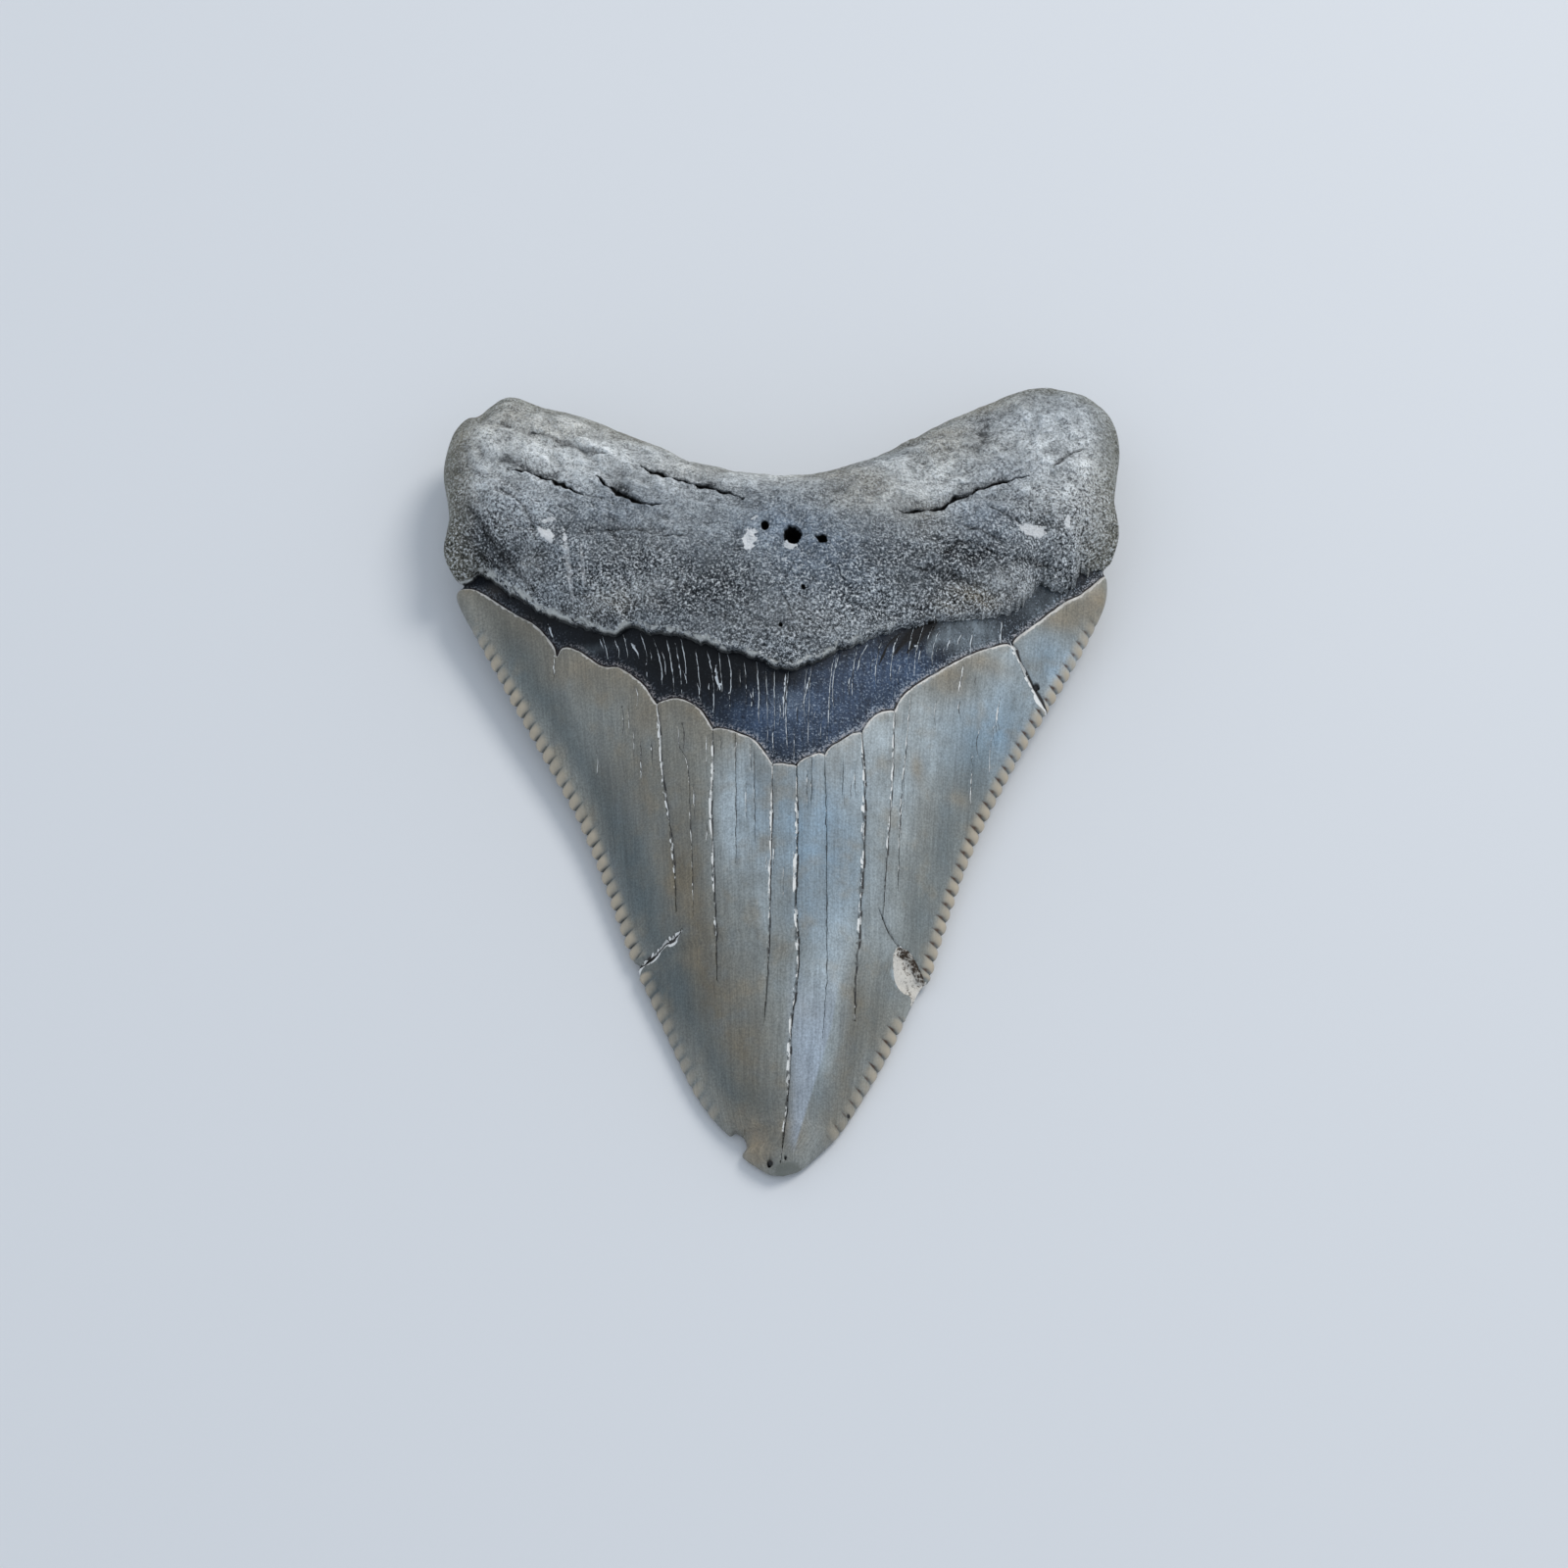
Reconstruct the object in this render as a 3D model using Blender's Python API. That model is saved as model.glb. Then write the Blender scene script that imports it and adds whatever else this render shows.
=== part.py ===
"""A megalodon tooth that lies on its labial face, as one solid: blade, bourlette and root grew as one piece.

The tooth is drawn from above, in millimetres, as one closed outline. A lingual sheet is raised over it and a
labial sheet hangs under it, and both share the outline's points. +X is to the right, +Y runs from the tip to
the root, and the worn flats of the labial face rest on Z = 0 below the middle of the outline's box.
"""

import math

import bmesh
import bpy
import numpy as np
from mathutils import Vector, noise
from mathutils.geometry import delaunay_2d_cdt

MM = 0.001

# The outline, seen from above. The blade's two cutting edges run from the tip to the notch beside the root.
RIGHT_EDGE = [(0.2, -32.2), (1.4, -31.8), (2.7, -30.7), (4.6, -28.6), (7.4, -23.9), (9.1, -20.4),
              (9.7, -19.1), (10.4, -17.7), (10.8, -17.2), (11.2, -16.7), (12.0, -13.9), (14.5, -6.6),
              (17.9, 0.5), (22.3, 8.0), (24.6, 12.3), (25.5, 14.4), (25.7, 16.2), (25.4, 17.1)]
LEFT_EDGE = [(0.2, -32.2), (-0.8, -32.1), (-1.8, -31.5), (-2.8, -30.7), (-2.5, -30.0), (-2.7, -29.3),
             (-3.3, -28.9), (-4.0, -28.9), (-6.3, -25.9), (-8.9, -20.3), (-10.6, -16.4), (-10.6, -15.7),
             (-11.1, -15.2), (-11.9, -13.1), (-15.1, -4.6), (-19.5, 3.6), (-23.8, 11.4), (-25.1, 13.8),
             (-25.5, 15.1), (-24.9, 15.8)]
# The root from the right notch round both lobes to the left notch, with the basal notch between the lobes.
ROOT_SIDE = [(25.4, 17.1), (26.2, 18.0), (26.6, 19.3), (26.6, 20.8), (26.4, 22.5), (26.7, 24.8), (27.0, 27.0),
             (26.8, 29.2), (25.9, 30.9), (24.4, 32.1), (22.4, 32.8), (20.8, 32.9), (18.5, 32.3), (16.5, 31.3),
             (13.5, 29.7), (9.5, 27.2), (6.6, 25.4), (3.4, 24.2), (0.6, 23.7), (-2.4, 23.9), (-4.8, 24.6),
             (-7.3, 25.5), (-8.8, 26.5), (-13.2, 28.8), (-16.0, 30.1), (-19.2, 31.1), (-21.5, 32.0),
             (-23.2, 31.3), (-24.2, 30.3), (-25.2, 30.1), (-26.3, 28.4), (-26.8, 25.2), (-26.2, 21.2),
             (-26.5, 18.2), (-25.9, 16.4), (-24.9, 15.8)]
# The root's ledge over the bourlette, and the enamel's edge under it, both from left to right.
ROOT_LEDGE = [(-25.8, 15.6), (-24.5, 15.9), (-23.5, 16.2), (-22.2, 15.0), (-19.8, 12.9), (-17.5, 11.2),
              (-14.7, 9.7), (-12.7, 8.9), (-11.4, 9.1), (-9.8, 8.3), (-7.9, 7.9), (-5.8, 6.8), (-2.7, 5.6),
              (-0.5, 4.6), (0.8, 4.4), (2.5, 5.0), (4.7, 6.3), (6.9, 7.4), (9.4, 8.7), (12.2, 9.7),
              (15.3, 10.7), (18.0, 11.8), (19.8, 13.9), (22.4, 14.6), (23.7, 16.2), (26.0, 17.6)]
ENAMEL_EDGE = [(-25.8, 15.4), (-24.0, 15.0), (-21.1, 12.7), (-19.0, 11.1), (-17.6, 9.3), (-17.3, 8.4),
               (-16.8, 8.9), (-15.6, 8.4), (-13.6, 6.7), (-12.3, 6.3), (-10.5, 4.6), (-9.4, 3.2), (-7.7, 2.9),
               (-6.2, 1.9), (-5.1, 0.5), (-3.1, -0.5), (-1.9, -1.2), (-0.7, -2.6), (0.6, -3.0), (1.5, -2.6),
               (3.2, -1.8), (5.8, 0.1), (7.1, 1.5), (8.5, 2.4), (9.7, 3.9), (12.2, 6.0), (14.6, 7.8),
               (16.2, 8.7), (17.7, 9.6), (19.7, 11.3), (22.2, 13.6), (23.7, 14.7), (26.0, 17.1)]
# The same line on the labial face, where the enamel reaches further up the root in one shallow arch.
LABIAL_EDGE = [(-25.6, 15.9), (-17.0, 13.6), (-8.0, 11.0), (0.0, 10.2), (8.0, 11.2), (17.0, 14.2),
               (25.6, 17.2)]

# The blade: its thickness over the cutting edges, and how high those edges stand over the floor.
BLADE_THICKNESS = 8.2
BLADE_FULL_Y = 8.0
BLADE_LENGTH = 40.6
BLADE_SIDES = 1.3
EDGE_HEIGHT_TIP, EDGE_HEIGHT_RISE = 0.5, 2.6
EDGE_TIP_Y, EDGE_RISE_LENGTH = -32.3, 48.0
EDGE_ROUND = 0.45
ENAMEL_STEP = 0.18

# The root: heights of its ridge at the middle and on the lobes, and the round of its sides.
RIDGE_LOBE, RIDGE_MIDDLE, RIDGE_WIDTH = 10.2, 3.2, 11.5
RIDGE_AT, LOBE_END = 0.42, 26.0
ROOT_BACK_DROP = 2.2
ROOT_MIDDLE_Z = 4.8
ROOT_ROUND = 5.2
LEDGE_STEP, LEDGE_WIDTH = 0.75, 0.5
LUMP_HEIGHT, LUMP_SIZE = 0.32, 5.5

# The labial face, and its three worn flats: one near the tip and one on each lobe.
TIP_FLAT_Y = -22.0
LABIAL_RISE_ROOT, LABIAL_RISE_TIP = 1.2, 0.5
LOBE_FLAT, LOBE_SPREAD, LOBE_RISE = (18.0, 22.5), (7.0, 8.0), 0.55
FLAT_DEPTH = 0.16

# Serrations: one bead each pitch along both cutting edges, with a ripple that fades into the blade.
SERRATION_PITCH = 1.1
SERRATION_HEIGHT = 0.42
RIPPLE_HEIGHT = 0.1
RIPPLE_REACH = 1.3
# How strong they are along each edge, as (y, share) from the tip to the shoulder.
LEFT_BITE = [(-28.8, 0.0), (-27.6, 0.5), (-18.0, 0.65), (-16.6, 0.9), (-16.3, 0.0), (-15.4, 0.0),
             (-15.1, 1.0), (7.0, 1.0), (11.0, 0.6), (13.6, 0.0)]
RIGHT_BITE = [(-31.2, 0.0), (-29.0, 0.5), (-20.3, 0.85), (-19.6, 0.0), (-17.0, 0.0), (-16.7, 0.9), (8.0, 0.9),
              (12.0, 0.6), (14.4, 0.0)]

# Nutrient pits beside the ridge's middle, as (x, y, radius, depth).
PITS = [(0.9, 14.9, 0.7, 1.6), (-1.2, 15.6, 0.36, 0.8), (3.2, 14.6, 0.4, 0.9)]
# Drying cracks in the root, each as its line and its width and depth.
ROOT_CRACKS = [
    ([(-21.3, 22.8), (-19.3, 22.4), (-17.7, 21.5), (-15.3, 19.9)], 0.30, 0.5),
    ([(-14.3, 21.4), (-12.3, 19.8), (-10.6, 18.7), (-9.2, 18.4)], 0.38, 0.7),
    ([(-10.8, 22.4), (-8.6, 21.0), (-6.0, 20.1), (-3.0, 18.6)], 0.38, 0.8),
    ([(9.1, 17.7), (12.0, 18.5), (13.5, 19.4), (16.1, 20.9), (19.2, 21.9)], 0.32, 0.6),
]
# The chip that opens through the right edge: its rim, its depth, its wall's width, and its floor's height.
CHIP_RIM = [(8.4, -15.9), (8.4, -17.0), (8.6, -17.8), (9.1, -18.3), (9.7, -18.4), (9.8, -19.3), (10.6, -19.2),
            (11.5, -17.3), (10.8, -17.0), (10.2, -16.0), (9.6, -15.3), (8.8, -15.2)]
CHIP_DEPTH, CHIP_WALL, CHIP_FLOOR = 0.9, 0.35, 0.1
# The middle of the outline's box, which the part's origin lies below.
BOX_MIDDLE = (0.1, 0.35)

# Spacing of the mesh's points.
OUTLINE_STEP, EDGE_SHARE = 1.3, 0.25
LINGUAL_STEP, LABIAL_STEP = 1.25, 2.0


def smooth_curve(points, step):
    """A Catmull-Rom curve through the points, as points about one step apart."""
    p = np.array(points, float)
    p = np.vstack([2 * p[0] - p[1], p, 2 * p[-1] - p[-2]])
    dense = []
    for a, b, c, d in zip(p, p[1:], p[2:], p[3:]):
        t = np.linspace(0, 1, 40, endpoint=False)[:, None]
        dense.append(0.5 * (2 * b + (c - a) * t + (2 * a - 5 * b + 4 * c - d) * t**2
                            + (3 * b - a - 3 * c + d) * t**3))
    dense = np.vstack([*dense, p[-2:-1]])
    run = np.r_[0, np.cumsum(np.linalg.norm(np.diff(dense, axis=0), axis=1))]
    at = np.linspace(0, run[-1], max(2, round(run[-1] / step) + 1))
    return np.c_[np.interp(at, run, dense[:, 0]), np.interp(at, run, dense[:, 1])]


def nearest(points, line):
    """For each point, its distance to the line, the run along the line and the outward normal there."""
    a, b = line[:-1], line[1:]
    along = b - a
    length = np.linalg.norm(along, axis=1)
    run = np.r_[0, np.cumsum(length)]
    offset = points[:, None] - a
    share = np.clip((offset * along).sum(2) / length**2, 0, 1)
    gap = np.linalg.norm(offset - share[..., None] * along, axis=2)
    k = gap.argmin(axis=1)
    rows = np.arange(len(points))
    outward = np.c_[along[k, 1], -along[k, 0]] / length[k, None]
    return gap[rows, k], run[k] + share[rows, k] * length[k], outward


def smoothstep(low, high, value):
    t = np.clip((value - low) / (high - low), 0, 1)
    return t * t * (3 - 2 * t)


def side_of(points, line):
    """Distance to a line that runs from left to right, positive on its root side."""
    gap = nearest(points, line)[0]
    return np.where(points[:, 1] > np.interp(points[:, 0], line[:, 0], line[:, 1]), gap, -gap)


def round_over(depth, radius):
    """Height share of a quarter round, by depth in from the outline."""
    return np.sqrt(1 - (1 - np.clip(depth / radius, 0, 1)) ** 2)


def lumps(points, size, seed):
    return np.array([noise.fractal(Vector((x / size, y / size, seed)), 0.8, 2.0, 3) for x, y in points])


class ToothForm:
    """The tooth's two faces as heights over its outline."""

    def __init__(self):
        fine = 0.25
        self.right = smooth_curve(RIGHT_EDGE, fine)
        self.left = smooth_curve(LEFT_EDGE, fine)
        root = smooth_curve(ROOT_SIDE, fine)
        self.outline = np.vstack([self.right[:-1], root[:-1], self.left[::-1]])
        self.ledge = smooth_curve(ROOT_LEDGE, fine)
        self.enamel = smooth_curve(ENAMEL_EDGE, fine)
        self.labial = smooth_curve(LABIAL_EDGE, fine)
        back = root[(root[:, 1] > 23.5)]
        self.back = back[np.argsort(back[:, 0])]
        self.cracks = [(smooth_curve(line, fine), width, depth) for line, width, depth in ROOT_CRACKS]
        self.chip = smooth_curve(CHIP_RIM + CHIP_RIM[:1], 0.45)

    def across(self, points):
        """1 on the blade's middle line and 0 on its cutting edges, at the same height y."""
        y = points[:, 1]
        right = np.interp(y, self.right[:, 1], self.right[:, 0])
        left = np.interp(y, self.left[:, 1], self.left[:, 0])
        share = (2 * points[:, 0] - right - left) / np.maximum(right - left, 0.1)
        return np.clip(1 - share**2, 0, 1)

    def edge_height(self, points):
        rise = np.clip((points[:, 1] - EDGE_TIP_Y) / EDGE_RISE_LENGTH, 0, 1)
        return EDGE_HEIGHT_TIP + EDGE_HEIGHT_RISE * rise**1.8

    def outline_height(self, points):
        in_root = smoothstep(-0.3, 0.9, side_of(points, self.ledge))
        return self.edge_height(points) * (1 - in_root) + ROOT_MIDDLE_Z * in_root

    def blade_top(self, points, depth):
        below = np.clip((BLADE_FULL_Y - points[:, 1]) / BLADE_LENGTH, 0, 1)
        thick = BLADE_THICKNESS * (1 - below**2) ** 0.8
        enamel = ENAMEL_STEP * smoothstep(0.12, -0.12, side_of(points, self.enamel))
        return (self.edge_height(points) + thick * self.across(points) ** BLADE_SIDES
                + (EDGE_ROUND + enamel) * round_over(depth, 0.6))

    def root_top(self, points, blade, ledge):
        x, y = points.T
        front = np.interp(x, self.ledge[:, 0], self.ledge[:, 1])
        back = np.interp(x, self.back[:, 0], self.back[:, 1])
        share = np.clip((y - front) / np.maximum(back - front, 1), 0, 1)
        ridge = RIDGE_LOBE + RIDGE_MIDDLE * np.exp(-((x / RIDGE_WIDTH) ** 2)) - (np.abs(x) / LOBE_END) ** 4
        ridge -= ROOT_BACK_DROP * np.clip((share - RIDGE_AT) / (1 - RIDGE_AT), 0, 1) ** 2
        rise = np.sin(math.pi / 2 * np.clip(share / RIDGE_AT, 0, 1)) ** 0.8
        ledge_top = blade + LEDGE_STEP * round_over(ledge, LEDGE_WIDTH)
        return ledge_top + (ridge - ledge_top) * rise

    def lingual(self, points):
        """Heights of the face that looks up."""
        depth = nearest(points, self.outline)[0]
        ledge = side_of(points, self.ledge)
        blade = self.blade_top(points, depth)
        root = self.root_top(points, blade, np.maximum(ledge, 0))
        root += LUMP_HEIGHT * lumps(points, LUMP_SIZE, 3.1) * np.clip(ledge, 0, 1)
        for line, width, cut in self.cracks:
            root -= cut * np.clip(1 - nearest(points, line)[0] / width, 0, 1)
        low = self.outline_height(points)
        root = low + (root - low) * round_over(depth, ROOT_ROUND)
        top = np.where(ledge > 0, root, blade)
        for x, y, radius, deep in PITS:
            top -= deep * smoothstep(radius, 0.55 * radius, np.hypot(points[:, 0] - x, points[:, 1] - y))
        in_chip = inside(points, self.chip[:-1]) * smoothstep(0, CHIP_WALL, nearest(points, self.chip)[0])
        return np.maximum(top - CHIP_DEPTH * in_chip, self.edge_height(points) + CHIP_FLOOR)

    def labial_face(self, points):
        """Heights of the face that looks down, with its worn flats cut off at the floor."""
        x, y = points.T
        depth = nearest(points, self.outline)[0]
        edge = self.edge_height(points)
        toward_root = np.clip((y - TIP_FLAT_Y) / 34, 0, 1.2) ** 2
        toward_tip = np.clip((TIP_FLAT_Y - y) / 8, 0, 1.5) ** 2
        middle = -FLAT_DEPTH + LABIAL_RISE_ROOT * toward_root + LABIAL_RISE_TIP * toward_tip
        share = self.across(points) ** 0.8
        blade = edge + (middle - edge) * share - 0.5 * EDGE_ROUND * round_over(depth, 0.6) * (1 - share)
        lobe = ((np.abs(x) - LOBE_FLAT[0]) / LOBE_SPREAD[0]) ** 2 + ((y - LOBE_FLAT[1]) / LOBE_SPREAD[1]) ** 2
        root = -FLAT_DEPTH + LOBE_RISE * lobe / (1 + 0.3 * lobe) + 0.12 * lumps(points, LUMP_SIZE, 9.4)
        low = self.outline_height(points)
        root = low + (root - low) * round_over(depth, 0.8 * ROOT_ROUND)
        in_root = smoothstep(-0.8, 1.2, side_of(points, self.labial))
        return np.maximum(blade + (root - blade) * in_root, 0)


def rings(outline, normal, insets):
    """Points at each inset inside the outline, left out where the outline bends too close to them."""
    kept = []
    closed = np.vstack([outline, outline[:1]])
    for inset, every in insets:
        ring = (outline - normal * inset)[::every]
        kept.append(ring[nearest(ring, closed)[0] > 0.93 * inset])
    return np.vstack(kept)


def beside(line, offsets):
    """Points on both sides of a line, at each offset."""
    along = np.gradient(line, axis=0)
    across = np.c_[-along[:, 1], along[:, 0]] / np.linalg.norm(along, axis=1)[:, None]
    return np.vstack([line + across * offset for offset in offsets])


def hex_points(step, outline):
    """A triangular lattice over the outline's box."""
    low, high = outline.min(axis=0), outline.max(axis=0)
    rows = np.arange(low[1], high[1], step * math.sqrt(3) / 2)
    return np.array([(x + step / 2 * (k % 2), y) for k, y in enumerate(rows)
                     for x in np.arange(low[0], high[0], step)])


def inside(points, outline):
    """Whether each point is inside the closed outline, by counting crossings."""
    a, b = outline, np.roll(outline, -1, axis=0)
    x, y = points[:, :1], points[:, 1:]
    spans = (a[:, 1] > y) != (b[:, 1] > y)
    level = np.where(a[:, 1] == b[:, 1], 1, b[:, 1] - a[:, 1])
    crossing = a[:, 0] + (y - a[:, 1]) * (b[:, 0] - a[:, 0]) / level
    return (spans & (x < crossing)).sum(axis=1) % 2 == 1


def thinned(groups, gaps):
    """The groups of points in order, each without points closer than its gap to those before."""
    kept = groups[0]
    for group, gap in zip(groups[1:], gaps):
        clear = np.array([np.min(np.hypot(*(kept - p).T)) > gap for p in group])
        kept = np.vstack([kept, group[clear]])
    return kept


def triangulated(outline, others):
    """Delaunay triangles inside the outline. The outline's points come first."""
    points = np.vstack([outline, others])
    count = len(outline)
    edges = [(k, (k + 1) % count) for k in range(count)]
    found = delaunay_2d_cdt([Vector(p) for p in points], edges, [list(range(count))], 1, 1e-6)
    if len(found[0]) != len(points):
        raise ValueError("two points of the plan coincide")
    return points, found[2]


def serrated(places, form, face):
    """The points moved by the beads of the cutting edges. face is 1 on the lingual face and -1 below."""
    moved = places.copy()
    for line, bite, sign in ((form.right, RIGHT_BITE, 1), (form.left, LEFT_BITE, -1)):
        depth, run, outward = nearest(places[:, :2], line)
        near = np.clip(1 - depth / RIPPLE_REACH, 0, 1)
        strength = np.interp(places[:, 1], *np.transpose(bite)) * near
        bead = np.sqrt(np.abs(np.sin(math.pi * run / SERRATION_PITCH))) - 0.6
        moved[:, :2] += (sign * SERRATION_HEIGHT * strength**2 * bead)[:, None] * outward
        moved[:, 2] += face * RIPPLE_HEIGHT * strength * bead * np.clip(depth / 0.2, 0, 1)
    return moved


def plan_outline(form):
    """The outline's points and outward normals, four points to a serration on the edges."""
    edge_step = SERRATION_PITCH * EDGE_SHARE
    right = smooth_curve(RIGHT_EDGE, edge_step)
    root = smooth_curve(ROOT_SIDE, OUTLINE_STEP)
    left = smooth_curve(LEFT_EDGE, edge_step)[::-1]
    points = np.vstack([right[:-1], root[:-1], left[:-1]])
    along = np.roll(points, -1, axis=0) - np.roll(points, 1, axis=0)
    normal = np.c_[along[:, 1], -along[:, 0]] / np.linalg.norm(along, axis=1)[:, None]
    return points, normal


def tooth_mesh(form):
    """The closed mesh of both sheets."""
    outline, normal = plan_outline(form)
    edge_rings = rings(outline, normal, [(0.28, 2), (0.7, 4), (1.3, 4)])
    round_insets = [ROOT_ROUND * (1 - math.cos(math.radians(a))) for a in (30, 48, 66)]
    root_rings = rings(outline, normal, [(inset, 1) for inset in round_insets])
    root_rings = root_rings[side_of(root_rings, form.ledge) > 0.8]
    features = [beside(smooth_curve(ROOT_LEDGE, 1.0), (0.0, 0.12, 0.5)),
                beside(smooth_curve(ENAMEL_EDGE, 1.0), (-0.12, 0.12))]
    for line, width, _ in ROOT_CRACKS:
        features.append(beside(smooth_curve(line, 0.8), (-width, 0.0, width)))
    for x, y, radius, _ in PITS:
        turn = np.linspace(0, 2 * math.pi, 8, endpoint=False)
        ring = np.c_[np.cos(turn), np.sin(turn)]
        features += [np.array([(x, y)]), (x, y) + radius * ring, (x, y) + 0.55 * radius * ring]
    features.append(beside(form.chip[:-1], (0.0, CHIP_WALL)))
    features = np.vstack(features)
    root_line = beside(smooth_curve(LABIAL_EDGE, 1.4), (-0.9, 0.2, 1.3))
    mesh = bmesh.new()
    rim = None
    for face, step, lines in ((1, LINGUAL_STEP, features), (-1, LABIAL_STEP, root_line)):
        groups = [outline, lines, edge_rings, root_rings, hex_points(step, outline)]
        points = thinned(groups, (0.15, 0.2, 0.5, 0.62 * step))[len(outline):]
        points = points[inside(points, outline)]
        plan, faces = triangulated(outline, points)
        height = (form.lingual if face > 0 else form.labial_face)(plan)
        height[:len(outline)] = form.outline_height(outline)
        places = serrated(np.c_[plan, height], form, face) - (*BOX_MIDDLE, 0)
        inner = [mesh.verts.new(p * MM) for p in places[len(outline):]]
        if rim is None:
            rim = [mesh.verts.new(p * MM) for p in places[:len(outline)]]
        corners = rim + inner
        for triangle in faces:
            order = triangle if face > 0 else triangle[::-1]
            made = mesh.faces.new([corners[k] for k in order])
            if max(triangle) < len(outline):
                middle = bmesh.ops.poke(mesh, faces=[made])["verts"][0]
                middle.co.z += face * 0.1 * MM
    return mesh


def tooth_material():
    material = bpy.data.materials.new("fossil_tooth")
    material.use_nodes = True
    shader = material.node_tree.nodes["Principled BSDF"]
    shader.inputs["Base Color"].default_value = (0.19, 0.21, 0.22, 1)
    shader.inputs["Roughness"].default_value = 0.5
    material.diffuse_color = (0.19, 0.21, 0.22, 1)
    return material


def make_tooth():
    mesh = tooth_mesh(ToothForm())
    bmesh.ops.recalc_face_normals(mesh, faces=mesh.faces)
    data = bpy.data.meshes.new("tooth")
    mesh.to_mesh(data)
    mesh.free()
    data.shade_smooth()
    data.set_sharp_from_angle(angle=math.radians(50))
    data.materials.append(tooth_material())
    tooth = bpy.data.objects.new("tooth", data)
    bpy.context.scene.collection.objects.link(tooth)


for old in list(bpy.data.objects):
    bpy.data.objects.remove(old)
make_tooth()
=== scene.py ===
"""The looks of a fossil megalodon tooth that lies on its labial face.

One surface stands for the whole tooth, because it grew as one piece. It repeats the lines and heights of the
part, in millimetres, with the finer forms that the solid leaves out: the grain and cracks of the root, the
bourlette's hairlines, the drying cracks down the blade, and the beads of its cutting edges. Four finishes
meet along those lines: enamel, bourlette, root dentine and the pale break of the chip.
"""

import math
import random

import bpy
import numpy as np
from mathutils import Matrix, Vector, kdtree, noise
from mathutils.geometry import delaunay_2d_cdt


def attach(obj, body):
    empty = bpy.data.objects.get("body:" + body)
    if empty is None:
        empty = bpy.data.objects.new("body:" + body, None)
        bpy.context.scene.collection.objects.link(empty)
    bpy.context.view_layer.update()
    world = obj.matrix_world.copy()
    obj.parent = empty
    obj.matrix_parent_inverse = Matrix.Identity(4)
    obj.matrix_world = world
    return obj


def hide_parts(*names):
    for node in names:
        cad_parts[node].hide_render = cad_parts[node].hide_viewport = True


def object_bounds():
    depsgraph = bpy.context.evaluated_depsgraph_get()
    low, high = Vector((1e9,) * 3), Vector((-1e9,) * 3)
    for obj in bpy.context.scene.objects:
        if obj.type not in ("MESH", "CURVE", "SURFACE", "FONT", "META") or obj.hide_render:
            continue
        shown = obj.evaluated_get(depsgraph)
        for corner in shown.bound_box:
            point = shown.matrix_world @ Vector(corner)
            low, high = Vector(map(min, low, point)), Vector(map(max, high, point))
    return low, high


MM = 0.001

# The outline, seen from above. The blade's two cutting edges run from the tip to the notch beside the root.
RIGHT_EDGE = [(0.2, -32.2), (1.4, -31.8), (2.7, -30.7), (4.6, -28.6), (7.4, -23.9), (9.1, -20.4),
              (9.7, -19.1), (10.4, -17.7), (10.8, -17.2), (11.2, -16.7), (12.0, -13.9), (14.5, -6.6),
              (17.9, 0.5), (22.3, 8.0), (24.6, 12.3), (25.5, 14.4), (25.7, 16.2), (25.4, 17.1)]
LEFT_EDGE = [(0.2, -32.2), (-0.8, -32.1), (-1.8, -31.5), (-2.8, -30.7), (-2.5, -30.0), (-2.7, -29.3),
             (-3.3, -28.9), (-4.0, -28.9), (-6.3, -25.9), (-8.9, -20.3), (-10.6, -16.4), (-10.6, -15.7),
             (-11.1, -15.2), (-11.9, -13.1), (-15.1, -4.6), (-19.5, 3.6), (-23.8, 11.4), (-25.1, 13.8),
             (-25.5, 15.1), (-24.9, 15.8)]
# The root from the right notch round both lobes to the left notch, with the basal notch between the lobes.
ROOT_SIDE = [(25.4, 17.1), (26.2, 18.0), (26.6, 19.3), (26.6, 20.8), (26.4, 22.5), (26.7, 24.8), (27.0, 27.0),
             (26.8, 29.2), (25.9, 30.9), (24.4, 32.1), (22.4, 32.8), (20.8, 32.9), (18.5, 32.3), (16.5, 31.3),
             (13.5, 29.7), (9.5, 27.2), (6.6, 25.4), (3.4, 24.2), (0.6, 23.7), (-2.4, 23.9), (-4.8, 24.6),
             (-7.3, 25.5), (-8.8, 26.5), (-13.2, 28.8), (-16.0, 30.1), (-19.2, 31.1), (-21.5, 32.0),
             (-23.2, 31.3), (-24.2, 30.3), (-25.2, 30.1), (-26.3, 28.4), (-26.8, 25.2), (-26.2, 21.2),
             (-26.5, 18.2), (-25.9, 16.4), (-24.9, 15.8)]
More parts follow.
